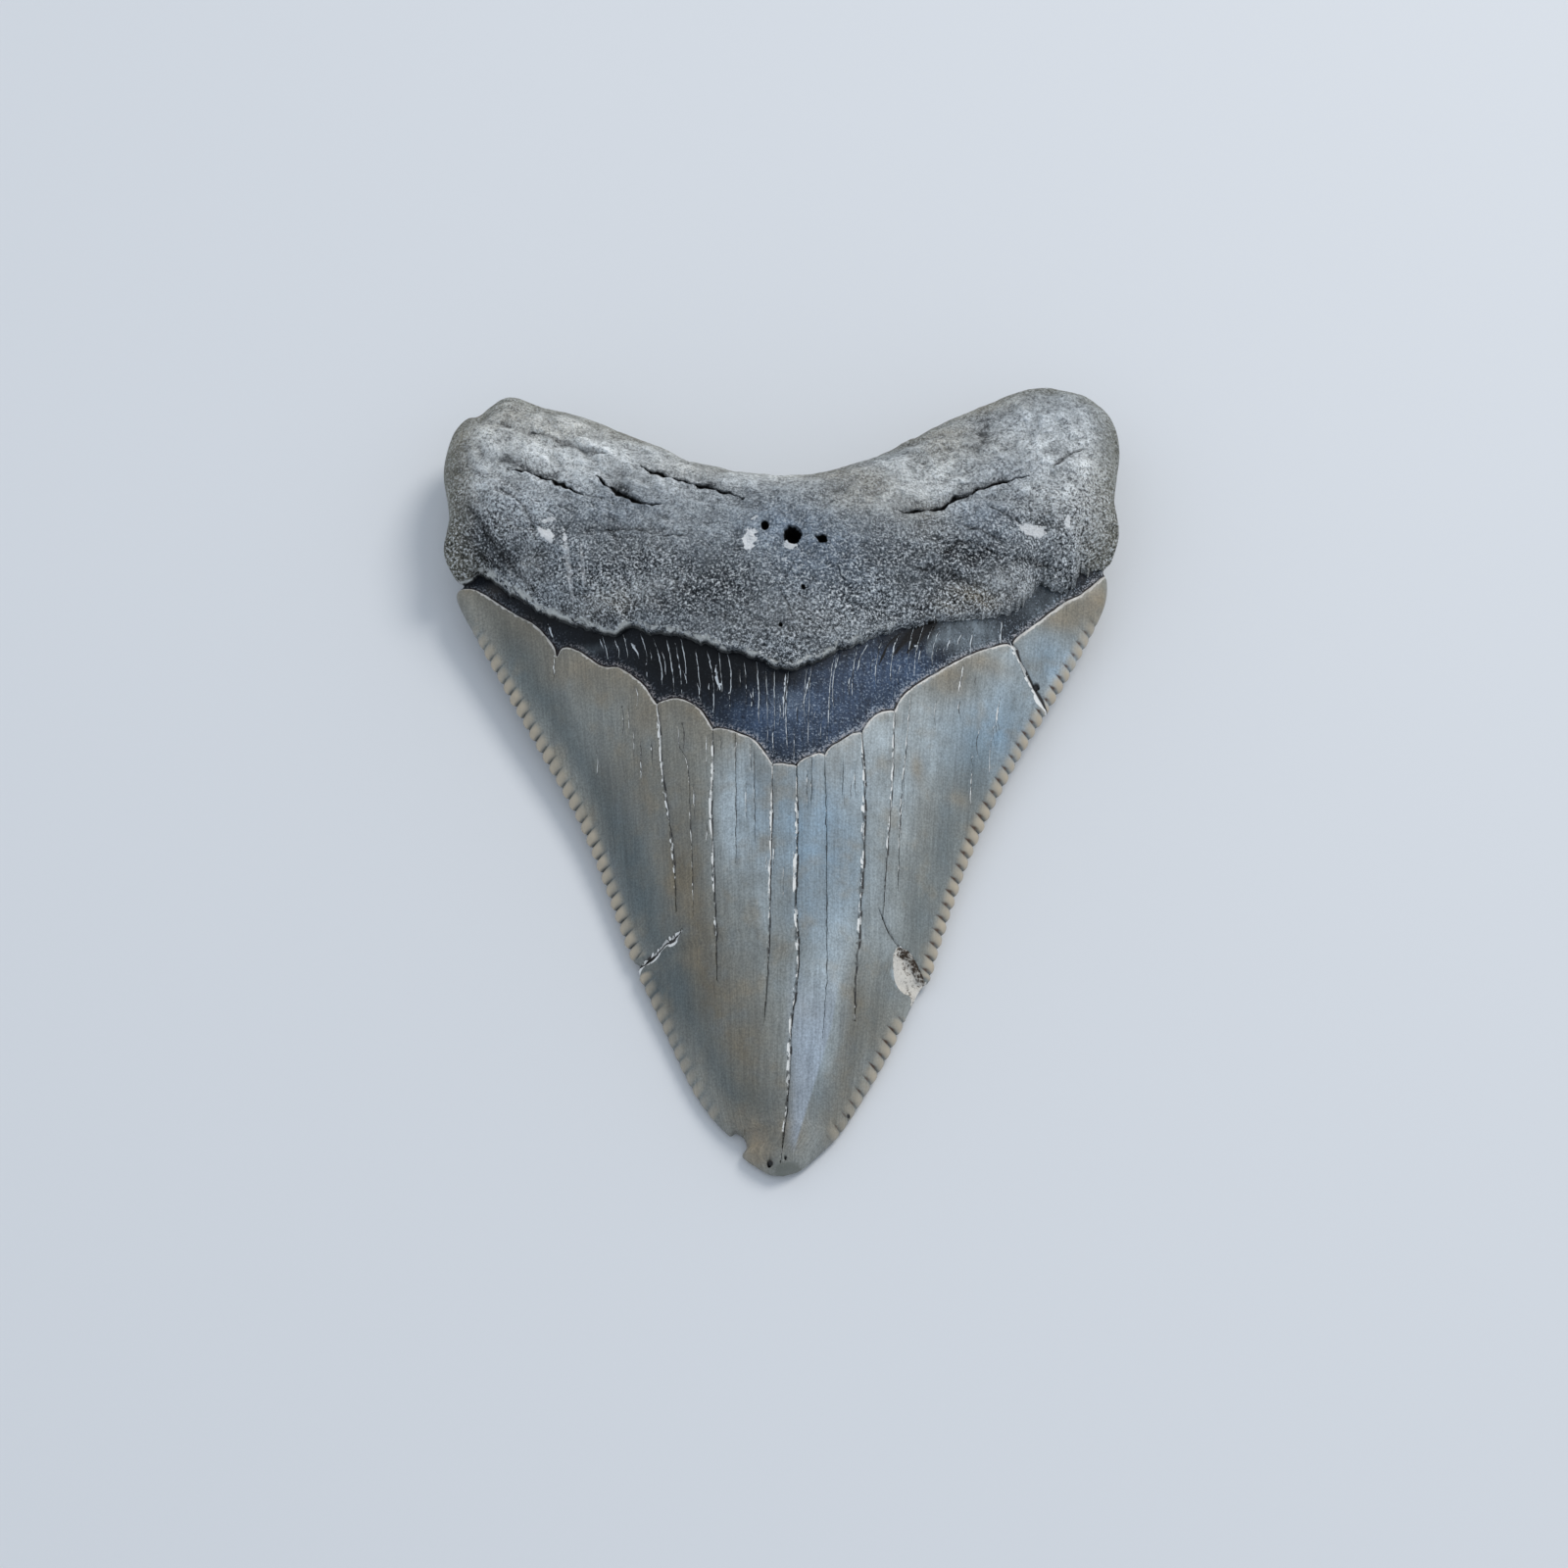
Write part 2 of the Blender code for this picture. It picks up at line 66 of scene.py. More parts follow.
# The root's ledge over the bourlette, and the enamel's edge under it, both from left to right.
ROOT_LEDGE = [(-25.8, 15.6), (-24.5, 15.9), (-23.5, 16.2), (-22.2, 15.0), (-19.8, 12.9), (-17.5, 11.2),
              (-14.7, 9.7), (-12.7, 8.9), (-11.4, 9.1), (-9.8, 8.3), (-7.9, 7.9), (-5.8, 6.8), (-2.7, 5.6),
              (-0.5, 4.6), (0.8, 4.4), (2.5, 5.0), (4.7, 6.3), (6.9, 7.4), (9.4, 8.7), (12.2, 9.7),
              (15.3, 10.7), (18.0, 11.8), (19.8, 13.9), (22.4, 14.6), (23.7, 16.2), (26.0, 17.6)]
ENAMEL_EDGE = [(-25.8, 15.4), (-24.0, 15.0), (-21.1, 12.7), (-19.0, 11.1), (-17.6, 9.3), (-17.3, 8.4),
               (-16.8, 8.9), (-15.6, 8.4), (-13.6, 6.7), (-12.3, 6.3), (-10.5, 4.6), (-9.4, 3.2), (-7.7, 2.9),
               (-6.2, 1.9), (-5.1, 0.5), (-3.1, -0.5), (-1.9, -1.2), (-0.7, -2.6), (0.6, -3.0), (1.5, -2.6),
               (3.2, -1.8), (5.8, 0.1), (7.1, 1.5), (8.5, 2.4), (9.7, 3.9), (12.2, 6.0), (14.6, 7.8),
               (16.2, 8.7), (17.7, 9.6), (19.7, 11.3), (22.2, 13.6), (23.7, 14.7), (26.0, 17.1)]
# The same line on the labial face, where the enamel reaches further up the root in one shallow arch.
LABIAL_EDGE = [(-25.6, 15.9), (-17.0, 13.6), (-8.0, 11.0), (0.0, 10.2), (8.0, 11.2), (17.0, 14.2),
               (25.6, 17.2)]

# The blade: its thickness over the cutting edges, and how high those edges stand over the floor.
BLADE_THICKNESS = 8.2
BLADE_FULL_Y = 8.0
BLADE_LENGTH = 40.6
BLADE_SIDES, BLADE_TAPER = 1.3, 0.8
EDGE_HEIGHT_TIP, EDGE_HEIGHT_RISE = 0.5, 2.6
EDGE_TIP_Y, EDGE_RISE_LENGTH, EDGE_RISE_POWER = -32.3, 48.0, 1.8
EDGE_ROUND, EDGE_ROUND_WIDTH = 0.45, 0.6
ENAMEL_STEP, ENAMEL_STEP_WIDTH = 0.18, 0.12

# The root: heights of its ridge at the middle and on the lobes, and the round of its sides.
RIDGE_LOBE, RIDGE_MIDDLE, RIDGE_WIDTH = 10.2, 3.2, 11.5
RIDGE_AT, RIDGE_ROUND, LOBE_END = 0.42, 0.8, 26.0
ROOT_BACK_DROP, ROOT_BACK_Y = 2.2, 23.5
ROOT_MIDDLE_Z = 4.8
ROOT_ROUND = 5.2
LEDGE_STEP = 0.75
# Over which distances from their edge the root's heights take over from the blade's.
ROOT_BLEND, LABIAL_BLEND = (-0.3, 0.9), (-0.8, 1.2)
LUMP_HEIGHT, LUMP_SIZE = 0.32, 5.5

# The labial face, and its three worn flats: one near the tip and one on each lobe.
TIP_FLAT_Y = -22.0
LABIAL_RISE_ROOT, LABIAL_RISE_TIP = 1.2, 0.5
LABIAL_REACH_ROOT, LABIAL_REACH_TIP = 34, 8
LOBE_FLAT, LOBE_SPREAD, LOBE_RISE = (18.0, 22.5), (7.0, 8.0), 0.55
FLAT_DEPTH = 0.16
LABIAL_ROUND, LABIAL_LUMP = 0.8 * ROOT_ROUND, 0.12

# Serrations: one bead each pitch along both cutting edges, with a ripple that fades into the blade.
SERRATION_PITCH = 1.1
SERRATION_HEIGHT = 0.42
RIPPLE_HEIGHT = 0.34
RIPPLE_REACH = 1.3
# How strong they are along each edge, as (y, share) from the tip to the shoulder.
LEFT_BITE = [(-28.8, 0.0), (-27.6, 0.5), (-18.0, 0.65), (-16.6, 0.9), (-16.3, 0.0), (-15.4, 0.0),
             (-15.1, 1.0), (7.0, 1.0), (11.0, 0.6), (13.6, 0.0)]
RIGHT_BITE = [(-31.2, 0.0), (-29.0, 0.5), (-20.3, 0.85), (-19.6, 0.0), (-17.0, 0.0), (-16.7, 0.9), (8.0, 0.9),
              (12.0, 0.6), (14.4, 0.0)]

# Nutrient pits beside the ridge's middle, as (x, y, radius, depth).
PITS = [(0.9, 14.9, 0.7, 1.6), (-1.2, 15.6, 0.36, 0.8), (3.2, 14.6, 0.4, 0.9)]
# Drying cracks in the root, each as its line and its width and depth.
ROOT_CRACKS = [
    ([(-21.3, 22.8), (-19.3, 22.4), (-17.7, 21.5), (-15.3, 19.9)], 0.30, 0.5),
    ([(-14.3, 21.4), (-12.3, 19.8), (-10.6, 18.7), (-9.2, 18.4)], 0.38, 0.7),
    ([(-10.8, 22.4), (-8.6, 21.0), (-6.0, 20.1), (-3.0, 18.6)], 0.38, 0.8),
    ([(9.1, 17.7), (12.0, 18.5), (13.5, 19.4), (16.1, 20.9), (19.2, 21.9)], 0.32, 0.6),
]
# The chip that opens through the right edge: its rim, its depth, its wall's width, and its floor's height.
CHIP_RIM = [(8.4, -15.9), (8.4, -17.0), (8.6, -17.8), (9.1, -18.3), (9.7, -18.4), (9.8, -19.3), (10.6, -19.2),
            (11.5, -17.3), (10.8, -17.0), (10.2, -16.0), (9.6, -15.3), (8.8, -15.2)]
CHIP_DEPTH, CHIP_WALL, CHIP_FLOOR = 0.9, 0.35, 0.1
# The middle of the outline's box, which the part's origin lies below.
BOX_MIDDLE = (0.1, 0.35)

# Cracks that drying opened down the blade, each as its line, its half width, its depth, and the share of it
# that white mineral fills at its start and at its end. Over 1, the mineral lines both sides of an open gap.
BLADE_CRACKS = [
    ([(-9.4, 3.0), (-9.2, 1.2), (-8.9, -2.6), (-8.4, -5.9), (-8.0, -9.2), (-7.8, -12.8)], 0.14, 0.10,
     (1.0, 0.2)),
    ([(-5.1, 0.4), (-5.1, -3.1), (-5.2, -5.5), (-5.1, -8.0), (-5.0, -10.6), (-4.8, -15.0), (-4.7, -18.5)],
     0.15, 0.12, (0.95, 0.3)),
    ([(-7.7, -0.7), (-7.0, -2.3), (-6.8, -5.9), (-6.6, -9.8), (-6.5, -13.5)], 0.05, 0.05, (0.5, 0.3)),
    ([(-3.4, -0.6), (-3.3, -10.3)], 0.06, 0.06, (0.5, 0.1)),
    ([(-2.0, -1.9), (-1.9, -9.0)], 0.05, 0.05, (0.2, 0.1)),
    ([(-0.6, -2.8), (-0.7, -9.1), (-0.8, -12.0), (-0.8, -14.9), (-1.0, -19.1), (-1.2, -21.9)], 0.13, 0.10,
     (1.0, 0.1)),
    ([(1.2, -3.0), (1.2, -9.8), (1.1, -13.4), (1.3, -17.3), (1.1, -19.8), (0.8, -21.9), (0.6, -25.3),
      (0.5, -27.3), (0.2, -29.9), (0.0, -31.5)], 0.18, 0.14, (0.42, 0.58)),
    ([(2.3, -2.3), (2.3, -6.0)], 0.05, 0.05, (0.3, 0.1)),
    ([(3.3, -1.8), (3.4, -8.1), (3.4, -11.0), (3.4, -17.4), (3.3, -20.2), (3.1, -22.9)], 0.07, 0.07,
     (0.3, 0.1)),
    ([(4.7, -2.4), (4.6, -5.0)], 0.05, 0.05, (0.2, 0.1)),
    ([(6.1, 0.1), (6.3, -3.9), (6.2, -9.0), (6.1, -10.5), (5.9, -13.4), (5.8, -15.5), (5.5, -18.4),
      (5.5, -21.1)], 0.2, 0.14, (0.68, 0.25)),
    ([(8.6, 2.3), (8.4, -3.4), (8.1, -7.1), (7.8, -10.8), (7.6, -13.6)], 0.11, 0.07, (0.9, 0.2)),
    ([(9.9, 3.9), (9.5, -0.3), (9.0, -5.4), (8.8, -11.0)], 0.06, 0.06, (0.8, 0.2)),
    ([(14.0, 6.8), (13.6, 4.5)], 0.07, 0.05, (1.0, 1.0)),
    ([(17.8, 9.6), (18.8, 7.7), (19.9, 6.0), (20.6, 5.0)], 0.3, 0.2, (1.0, 1.0)),
    ([(9.3, -15.4), (8.5, -14.9), (7.9, -14.0), (7.4, -13.0)], 0.16, 0.12, (0.6, 0.1)),
    ([(-10.5, -15.9), (-9.5, -15.5), (-8.6, -14.9), (-8.1, -14.8), (-7.5, -14.4)], 0.34, 0.26, (1.4, 1.4)),
    ([(-11.0, -16.3), (-10.4, -15.9), (-9.9, -15.6)], 0.36, 0.15, (1.0, 1.0)),
    ([(-17.5, 8.4), (-17.5, 7.0)], 0.09, 0.06, (1.0, 0.6)),
]
# How far the enamel's edge dips into the cracks that start on it, and over what width.
RIM_DIP, RIM_DIP_WIDTH = 0.45, 0.3
# Folds and furrows of the root, each as its line, its half width and its depth.
ROOT_LINES = [
    ([(-9.1, 15.5), (-8.3, 15.4), (-7.5, 15.3)], 0.16, 0.25),
    ([(-17.9, 18.9), (-17.3, 19.1), (-16.8, 19.0)], 0.12, 0.12),
    ([(16.0, 18.9), (17.2, 18.5), (18.6, 17.9)], 0.3, 0.25),
    ([(13.6, 17.2), (15.6, 16.6), (17.0, 16.1)], 0.25, 0.16),
    ([(12.1, 14.4), (13.7, 15.5), (15.6, 15.5), (16.4, 15.1)], 0.3, 0.25),
    ([(21.2, 22.9), (22.6, 24.4), (23.8, 25.2)], 0.3, 0.25),
    ([(-24.4, 20.4), (-22.6, 17.9), (-20.9, 15.4), (-19.1, 13.3)], 0.6, 0.3),
    ([(-23.5, 17.4), (-22.3, 16.2), (-21.3, 15.0)], 0.45, 0.25),
    ([(-21.8, 21.0), (-20.2, 19.6), (-19.0, 17.4)], 0.4, 0.2),
    ([(-13.5, 16.8), (-11.2, 16.5), (-9.8, 15.8)], 0.3, 0.18),
    ([(-19.5, 26.6), (-16.4, 24.9), (-13.6, 23.7)], 0.5, 0.2),
    ([(10.2, 13.0), (12.4, 13.2), (14.6, 12.6)], 0.5, 0.25),
    ([(17.8, 14.9), (19.8, 15.6), (21.4, 15.4)], 0.4, 0.2),
    ([(0.1, 9.8), (0.5, 9.1), (0.9, 8.1)], 0.13, 0.16),
    ([(2.2, 11.4), (2.7, 10.8)], 0.07, 0.12),
    ([(4.3, 12.2), (4.6, 11.6), (4.9, 11.3)], 0.08, 0.14),
    ([(5.3, 9.6), (5.6, 9.1), (5.9, 9.0)], 0.08, 0.14),
    ([(7.2, 10.3), (7.4, 10.1)], 0.06, 0.1),
]
# White mineral spots and two long scratches on the root, as (x, y, half width, half height, turn in degrees,
# whiteness).
CHALK_SPOTS = [(-2.4, 14.5, 0.55, 1.0, -12, 1.0), (0.75, 13.95, 0.62, 0.5, 4, 0.7),
               (-2.0, 16.4, 0.15, 0.35, -60, 0.6), (19.6, 17.7, 1.15, 0.5, 10, 0.8),
               (22.3, 18.6, 0.25, 0.6, -14, 0.8), (-18.1, 16.9, 0.85, 0.42, -46, 0.9),
               (-17.9, 18.0, 0.8, 0.17, 14, 0.7), (-16.35, 14.3, 0.2, 3.2, 8, 0.35),
               (-15.2, 14.0, 0.14, 2.4, 6, 0.25)]
# Small dark holes at the tip, beside the right crack and in the root's middle, as (x, y, radius, depth).
SMALL_HOLES = [(-0.8, -31.6, 0.2, 0.3), (0.35, -31.3, 0.13, 0.2), (5.0, -27.7, 0.12, 0.15),
               (19.8, 6.7, 0.28, 0.25), (1.7, 10.3, 0.17, 0.3), (0.0, 7.4, 0.16, 0.25)]

# Fine white lines: how many long and short ones on the bourlette and how many on the enamel, how much they
# lean outwards from the middle line, and their half width and depth.
LONG_HAIRS, SHORT_HAIRS, ENAMEL_HAIRS = 30, 34, 40
HAIR_LEAN = 0.034
HAIR_WIDTH, HAIR_DEPTH = 0.05, 0.02
# Hairs thicker than the rest, each as its line, its half width, its depth and its whiteness at both ends.
THICK_HAIRS = [
    ([(-4.9, 5.0), (-4.7, 3.8), (-4.5, 3.0)], 0.14, 0.03, (0.9, 0.9)),
    ([(0.4, 4.0), (0.3, 2.4), (0.2, 0.6)], 0.12, 0.03, (0.9, 1.0)),
    ([(2.3, 4.2), (1.9, 2.6), (1.6, 1.5)], 0.1, 0.03, (0.8, 0.8)),
    ([(-11.4, 8.0), (-11.0, 7.4), (-10.8, 6.8)], 0.12, 0.03, (0.8, 0.8)),
    ([(-13.9, 8.9), (-13.6, 8.2)], 0.1, 0.03, (0.8, 0.7)),
    ([(-18.0, 11.0), (-17.6, 9.9)], 0.12, 0.03, (0.7, 0.7)),
    ([(17.1, 11.0), (17.0, 9.4)], 0.13, 0.03, (1.0, 1.0)),
    ([(13.1, 8.9), (12.8, 7.9)], 0.07, 0.02, (0.9, 0.9)),
    ([(13.9, 9.2), (13.5, 8.2)], 0.06, 0.02, (0.8, 0.8)),
    ([(14.8, 9.6), (14.5, 8.0)], 0.07, 0.02, (0.9, 0.9)),
    ([(11.9, 9.7), (10.9, 8.9), (10.1, 7.6), (9.7, 6.9)], 0.42, 0.02, (0, 0)),
    ([(10.6, 9.0), (9.6, 8.0), (8.7, 6.6)], 0.3, 0.02, (0, 0)),
    ([(9.2, 8.3), (8.2, 7.2), (7.5, 5.6)], 0.12, 0.02, (0, 0)),
    ([(6.6, 7.0), (6.1, 5.9), (5.7, 4.6)], 0.06, 0.02, (0.8, 0.9)),
    ([(4.4, 5.9), (4.1, 4.6)], 0.05, 0.02, (0.8, 0.9)),
]
# Past this side of the middle, every other hair is missing.
SPARSE_HAIRS = (4.0, 8.5)

# Spacing of the surface's points.
EDGE_STEP, ROOT_STEP = 0.11, 0.25
EDGE_INSETS = (0.08, 0.18, 0.3, 0.45, 0.65, 0.9, 1.2)
CELL_ROOT, CELL_BOURLETTE, CELL_ENAMEL = 0.2, 0.2, 0.3
CELL_UNDER = 0.5
LINE_STEP = 0.22
LINE_CLEARANCE = 0.12
CURVE_STEP = 0.25
# Rows of points beside the ledge, rings of points round each hole as shares of its radius, and bands round
# the root's side as angles on its round. A free point keeps a share of its cell clear, and one on a ring
# keeps a share of its inset. Edges sharper than the last angle show as sharp.
LEDGE_ROWS = (-0.1, 0.08, 0.2, 0.36, 0.55)
HOLE_POINTS, HOLE_RINGS = 28, (1.1, 0.95, 0.8, 0.65, 0.4)
ROOT_BANDS, UNDER_BANDS = range(8, 38, 5), range(10, 60, 8)
CELL_CLEAR, RING_CLEAR = 0.6, 0.93
SHARP_ANGLE = 55
CHUNK = 1500

SEED = 7
# The chip's rough floor and the holes' ragged rims, with the lumps of both as (size, seed).
CHIP_GRAIN, CHIP_LUMPS = 0.12, (0.5, 4.4)
HOLE_RAGGED, HOLE_LUMPS, HOLE_STRETCH, HOLE_FLOOR = 0.3, (0.42, 3.3), 1.25, 0.7
# How much a crack's width varies, how narrow the root's cracks are beside the part's, how dark a fold is
# beside an open crack, how much of a crack's width is left at its ends and how fast it gets there, and the
# sunken bank above and the raised lip below each crack of the root.
CRACK_VARIATION, ROOT_CRACK_SHARE, FOLD_INK = 0.5, 0.8, 0.3
CRACK_END, CRACK_TAPER = 0.25, 6
BANK_DEPTH, BANK_WIDTH = 0.3, 0.8
LIP_HEIGHT, LIP_WIDTH = 0.12, 0.35
# The width of the ledge's round, and how far the teeth of its right part reach.
LEDGE_LIP, LEDGE_TEETH = 0.22, 0.75
# How far the ledge and the enamel's edge wander, as (sway, size, seed), where the teeth begin and end, and
# their size and seed.
LEDGE_RAGGED, ENAMEL_RAGGED, RAGGED_STEP = (0.24, 0.8, 2.2), (0.05, 0.8, 6.6), 0.15
TOOTHED, TEETH_LUMPS = ((16.5, 18.5), (25.5, 24.0)), (0.6, 5.1)
# The root's weathered relief: folds that run out along both lobes, then lumps, each as (height, size, seed).
# The whole is sunk a little; its span in height runs from painted shade in the hollows to painted light on
# the rises.
LOBE_SLOPE, FOLD_HEIGHT, FOLD_LENGTH, FOLD_WIDTH, FOLD_BEND = 0.46, 0.62, 3.6, 1.7, 0.7
FOLD_MEAN, FOLD_CALM, FOLD_SEED = 0.4, 0.4, 13.5
# How wide the line turns between the lobes, the lumps that bend the folds, as (size, seed), how far from the
# middle the folds grow to their full height, and a lump's fractal dimension, gap and octaves.
LOBE_TURN, BEND_LUMPS, CALM_SPAN, FRACTAL = 3.0, (4.0, 2.7), (4, 12), (0.8, 2.0, 3)
ROOT_GRAIN, UNDER_SEED = ((0.26, 2.4, 5.7), (0.15, 0.9, 8.8)), 5
RELIEF_DROP, RELIEF_SPAN = 0.25, 0.8
GROWTH_WIDTH, GROWTH_SPREAD = 20.0, 0.75
STREAK_LENGTH = 20

# How round a bead is, the value that counts as neither out nor in, the same for the ripple at the edge and at
# its reach, and how far in from the edge the ripple has its full height.
BEAD_ROUND, BEAD_MEAN = 0.5, 0.6
CROWN_ROUND, CROWN_MEAN = (0.6, 0.12), 0.8
RIPPLE_START = 0.2
# The serrations' settings: distances in millimetres, and how much smaller a bead may be than the largest.
SERRATION_INPUTS = (
    ("Pitch", "NodeSocketFloat", SERRATION_PITCH),
    ("Height", "NodeSocketFloat", SERRATION_HEIGHT),
    ("Ripple", "NodeSocketFloat", RIPPLE_HEIGHT),
    ("Reach", "NodeSocketFloat", RIPPLE_REACH),
    ("Variation", "NodeSocketFloat", 0.3),
    ("Seed", "NodeSocketInt", SEED),
)

# Soft tints of the blade, the band of the bourlette, the root and the chip, each spot as (x, y, half width,
# half height, amount).
TINTS = ("pale", "cool", "warm", "dark", "tan")
BLADE_TINTS = {
    "warm": [(-14, 5.6, 4, 2, 0.3), (-9, -3, 3, 5, 0.5), (-7.5, -10, 2, 5, 0.8), (-6, -17, 2, 5, 0.8),
             (-13, -2.5, 2, 3, 0.5), (-3, -23, 2, 4, 0.8), (-9.7, -17.8, 1.5, 2.5, 0.6),
             (-5.5, -19, 2, 3, 0.4), (1.6, -27, 1.5, 3, 0.4), (-2, -28, 2, 3, 0.6), (12, 5, 3, 3, 0.3),
             (22.5, 13, 3, 2, 0.6), (5.5, -20, 1.2, 4, 0.5), (4.8, -25, 1.1, 4, 0.6), (-20, 11, 3, 1.5, 0.4),
             (3.6, -28.5, 1, 2, 0.5), (7, -21, 1.3, 2.5, 0.5), (11, -5, 1.2, 3, 0.4)],
    # The cool and pale spots down the middle and right are partly painted sky reflection, partly the enamel's
    # blue-grey.
    "cool": [(1.5, -7, 3, 6, 0.55), (4.5, -10, 2, 5, 0.45), (2, -14, 1.5, 3, 0.4), (17.5, 3, 2.5, 3, 0.45),
             (-1.8, -5, 1.2, 4, 0.4), (2.4, -25, 0.8, 3, 0.4), (21, 9, 2.2, 2, 0.6), (14, 1, 2, 3, 0.3),
             (16.5, 1.5, 2.5, 3, 0.2)],
    "pale": [(5.5, -3, 2.5, 4, 0.9), (9.5, -2, 3, 6, 0.7), (18.5, 7.5, 2.5, 3, 0.8), (4, -16, 1.6, 6, 0.8),
             (2.8, -22, 1.8, 4, 0.9), (7.5, -13, 1.5, 4, 0.5), (1.8, -29, 1.2, 2, 0.5), (-3, -6, 1.5, 4, 1.0),
             (-1.2, -13, 0.8, 5, 0.6), (12, 2, 3, 3, 0.5), (22, 9, 2.5, 2.5, 1.0), (16, 3, 3, 3, 0.9),
             (-2.7, -6.5, 1.5, 4, 0.4), (-3.5, -8, 2, 5, 0.4)],
    "dark": [(-20.5, 9, 2.5, 3, 0.35), (-19, 6, 2, 4, 0.3), (-13, -5, 2, 4, 0.3), (-11.4, -9, 1.6, 4, 0.7),
             (-9.5, -13, 1.4, 3, 0.5), (-7.6, -19, 1.2, 4, 0.5), (-9.7, -17.8, 1.4, 1.8, 0.8),
             (14.8, -1, 1.5, 4, 0.4), (12.6, -7, 1.2, 5, 0.45), (10.5, -13, 1, 3, 0.4)],
    "tan": [(10.3, -1.8, 0.5, 1.1, 0.7), (13.5, -3, 0.8, 0.7, 0.6), (13, 5.4, 1.6, 1.2, 0.5),
            (15.5, 7.3, 2, 0.8, 0.6), (-16, 7, 1.5, 1, 0.4), (-10.5, 2, 1.5, 1.5, 0.3),
            (-1.6, -30, 1.2, 1.6, 0.9), (0.6, -29.6, 1.5, 1.4, 0.7), (21.5, 12, 1.5, 0.8, 0.5),
            (24.6, 14.2, 1.5, 1.4, 0.8)],
}
BAND_TINTS = {
    "warm": [(-22.3, 14.6, 1.2, 0.6, 0.5)],
    "cool": [(2.5, 1.5, 5, 3.4, 0.9), (8, 5, 3, 2.4, 0.9), (10.5, 6, 2, 1.5, 0.5), (-1.5, 0.5, 2.5, 2, 0.5)],
    "pale": [(13.2, 8.8, 1.2, 1.1, 0.7), (15.3, 9.7, 1.6, 1.4, 0.8), (11.8, 8.4, 0.25, 0.5, 1.0),
             (11.4, 7.6, 0.25, 0.6, 0.9), (20.5, 12.8, 3, 2, 0.35), (-15, 8.3, 2, 0.4, 0.4),
             (0.5, 1.8, 1.5, 1.2, 0.25)],
    # The dark spots are painted shadow under the root's ledge.
    "dark": [(-19, 11.6, 2.5, 1.4, 1.0), (-14, 9, 2.5, 1.0, 0.9), (-9, 7, 3, 2.4, 1.0),
             (-6, 5.5, 3, 2.6, 1.0), (-3, 4.4, 2.4, 1.9, 1.0), (0.5, 3.7, 1.8, 1.0, 0.9),
             (5.4, 6.5, 1.4, 0.8, 0.5), (11.2, 9.1, 0.8, 0.7, 1.0), (10.1, 8.3, 0.9, 0.9, 1.0),
             (9.0, 7.5, 0.8, 0.8, 0.8), (8.0, 7.3, 0.7, 0.6, 0.6)],
    "tan": [],
}
ROOT_TINTS = {
    "warm": [(6, 19, 3, 2, 0.5), (13, 25, 4, 3, 0.5), (11, 18, 3, 2, 0.4), (-14, 27, 7, 2.2, 0.5),
             (-22, 29, 4, 3, 0.5), (4, 22, 4, 1.5, 0.6), (-25.5, 24, 1.5, 6, 0.6), (25, 20, 2, 4, 0.3),
             (-6, 22.5, 4, 1.5, 0.4), (-13, 10.6, 3, 0.8, 0.4), (16, 30, 5, 1.5, 0.5)],
    "cool": [(17.4, 22.4, 3, 1.6, 0.35), (18.7, 27.5, 4, 2, 0.2), (3, 13, 4, 3, 0.6), (15, 18, 4, 2, 0.5),
             (-20, 20, 3, 2, 0.4), (-12, 18.5, 4, 2, 0.3), (0, 16, 3, 2, 0.4)],
    # The pale spots over the upper lobes and back are partly painted light on faces turned to the lamp.
    "pale": [(-21, 22.5, 4, 4, 1.4), (-18, 27, 6, 4, 1.2), (-9, 22.5, 6, 4, 0.9), (0, 21.5, 4, 1.8, 0.75),
             (20, 25, 6, 6, 0.82), (10, 20.5, 4, 3, 0.75), (-21.7, 18.4, 1, 1.5, 0.5), (-10, 15.5, 3, 2, 0.3),
             (24.5, 22, 1.2, 5, 0.6), (0, 8, 6, 1.6, 0.3), (22, 20, 3, 2, 0.7), (14, 21, 3, 2, 0.4),
             (-12, 11.4, 5, 1.0, 0.5), (-21.5, 21.3, 2.5, 2.2, 0.9), (18, 13.2, 2.5, 1.2, 0.8),
             (-19.5, 14.5, 1.2, 2, 0.5)],
    "dark": [(-11, 13.5, 4, 1.4, 0.5), (-5, 11, 3.5, 2.2, 0.75), (-3, 9.5, 2.5, 1.5, 0.2),
             (15.0, 14.6, 3, 1.4, 0.8), (9.5, 13.5, 4, 2.2, 0.5), (-24.5, 18, 1.8, 3, 0.7),
             (-22.5, 16.5, 1.6, 2, 0.6), (-9.6, 15.8, 3, 1.2, 0.3)],
    "tan": [(15, 11.8, 2.2, 0.8, 0.8), (12.6, 10.6, 1.5, 0.5, 0.4), (12.5, 26.5, 2.5, 1, 0.4),
            (7.5, 20.5, 1.5, 1, 0.3)],
}
CHIP_TINTS = {
    "warm": [], "cool": [], "tan": [], "pale": [(8.6, -17.2, 0.5, 1.2, 1.0)],
    "dark": [(10.3, -15.8, 0.5, 0.6, 1.0), (10.9, -16.6, 0.5, 0.5, 1.0), (9.4, -15.4, 0.8, 0.3, 0.8)],
}
TIP_WEAR = [(0.7, -32.0, 1.3, 0.5, 1.0)]
# The sharp right edge of a pale wedge above the tip, partly a painted sheen, partly the enamel's own paler
# colour.
WEDGE_EDGE = [(1.1, -30.5), (2.4, -26.4), (3.7, -22.2), (4.4, -18.3)]
WEDGE_SOFT = 0.08

# The camera, the floor and the lights, in millimetres, degrees and watts.
CAMERA_TARGET, CAMERA_DISTANCE = (0.15, -1.25, 2.0), 268.09
CAMERA_ELEVATION, CAMERA_LENS, CAMERA_SENSOR = 64.0, 80.0, 36
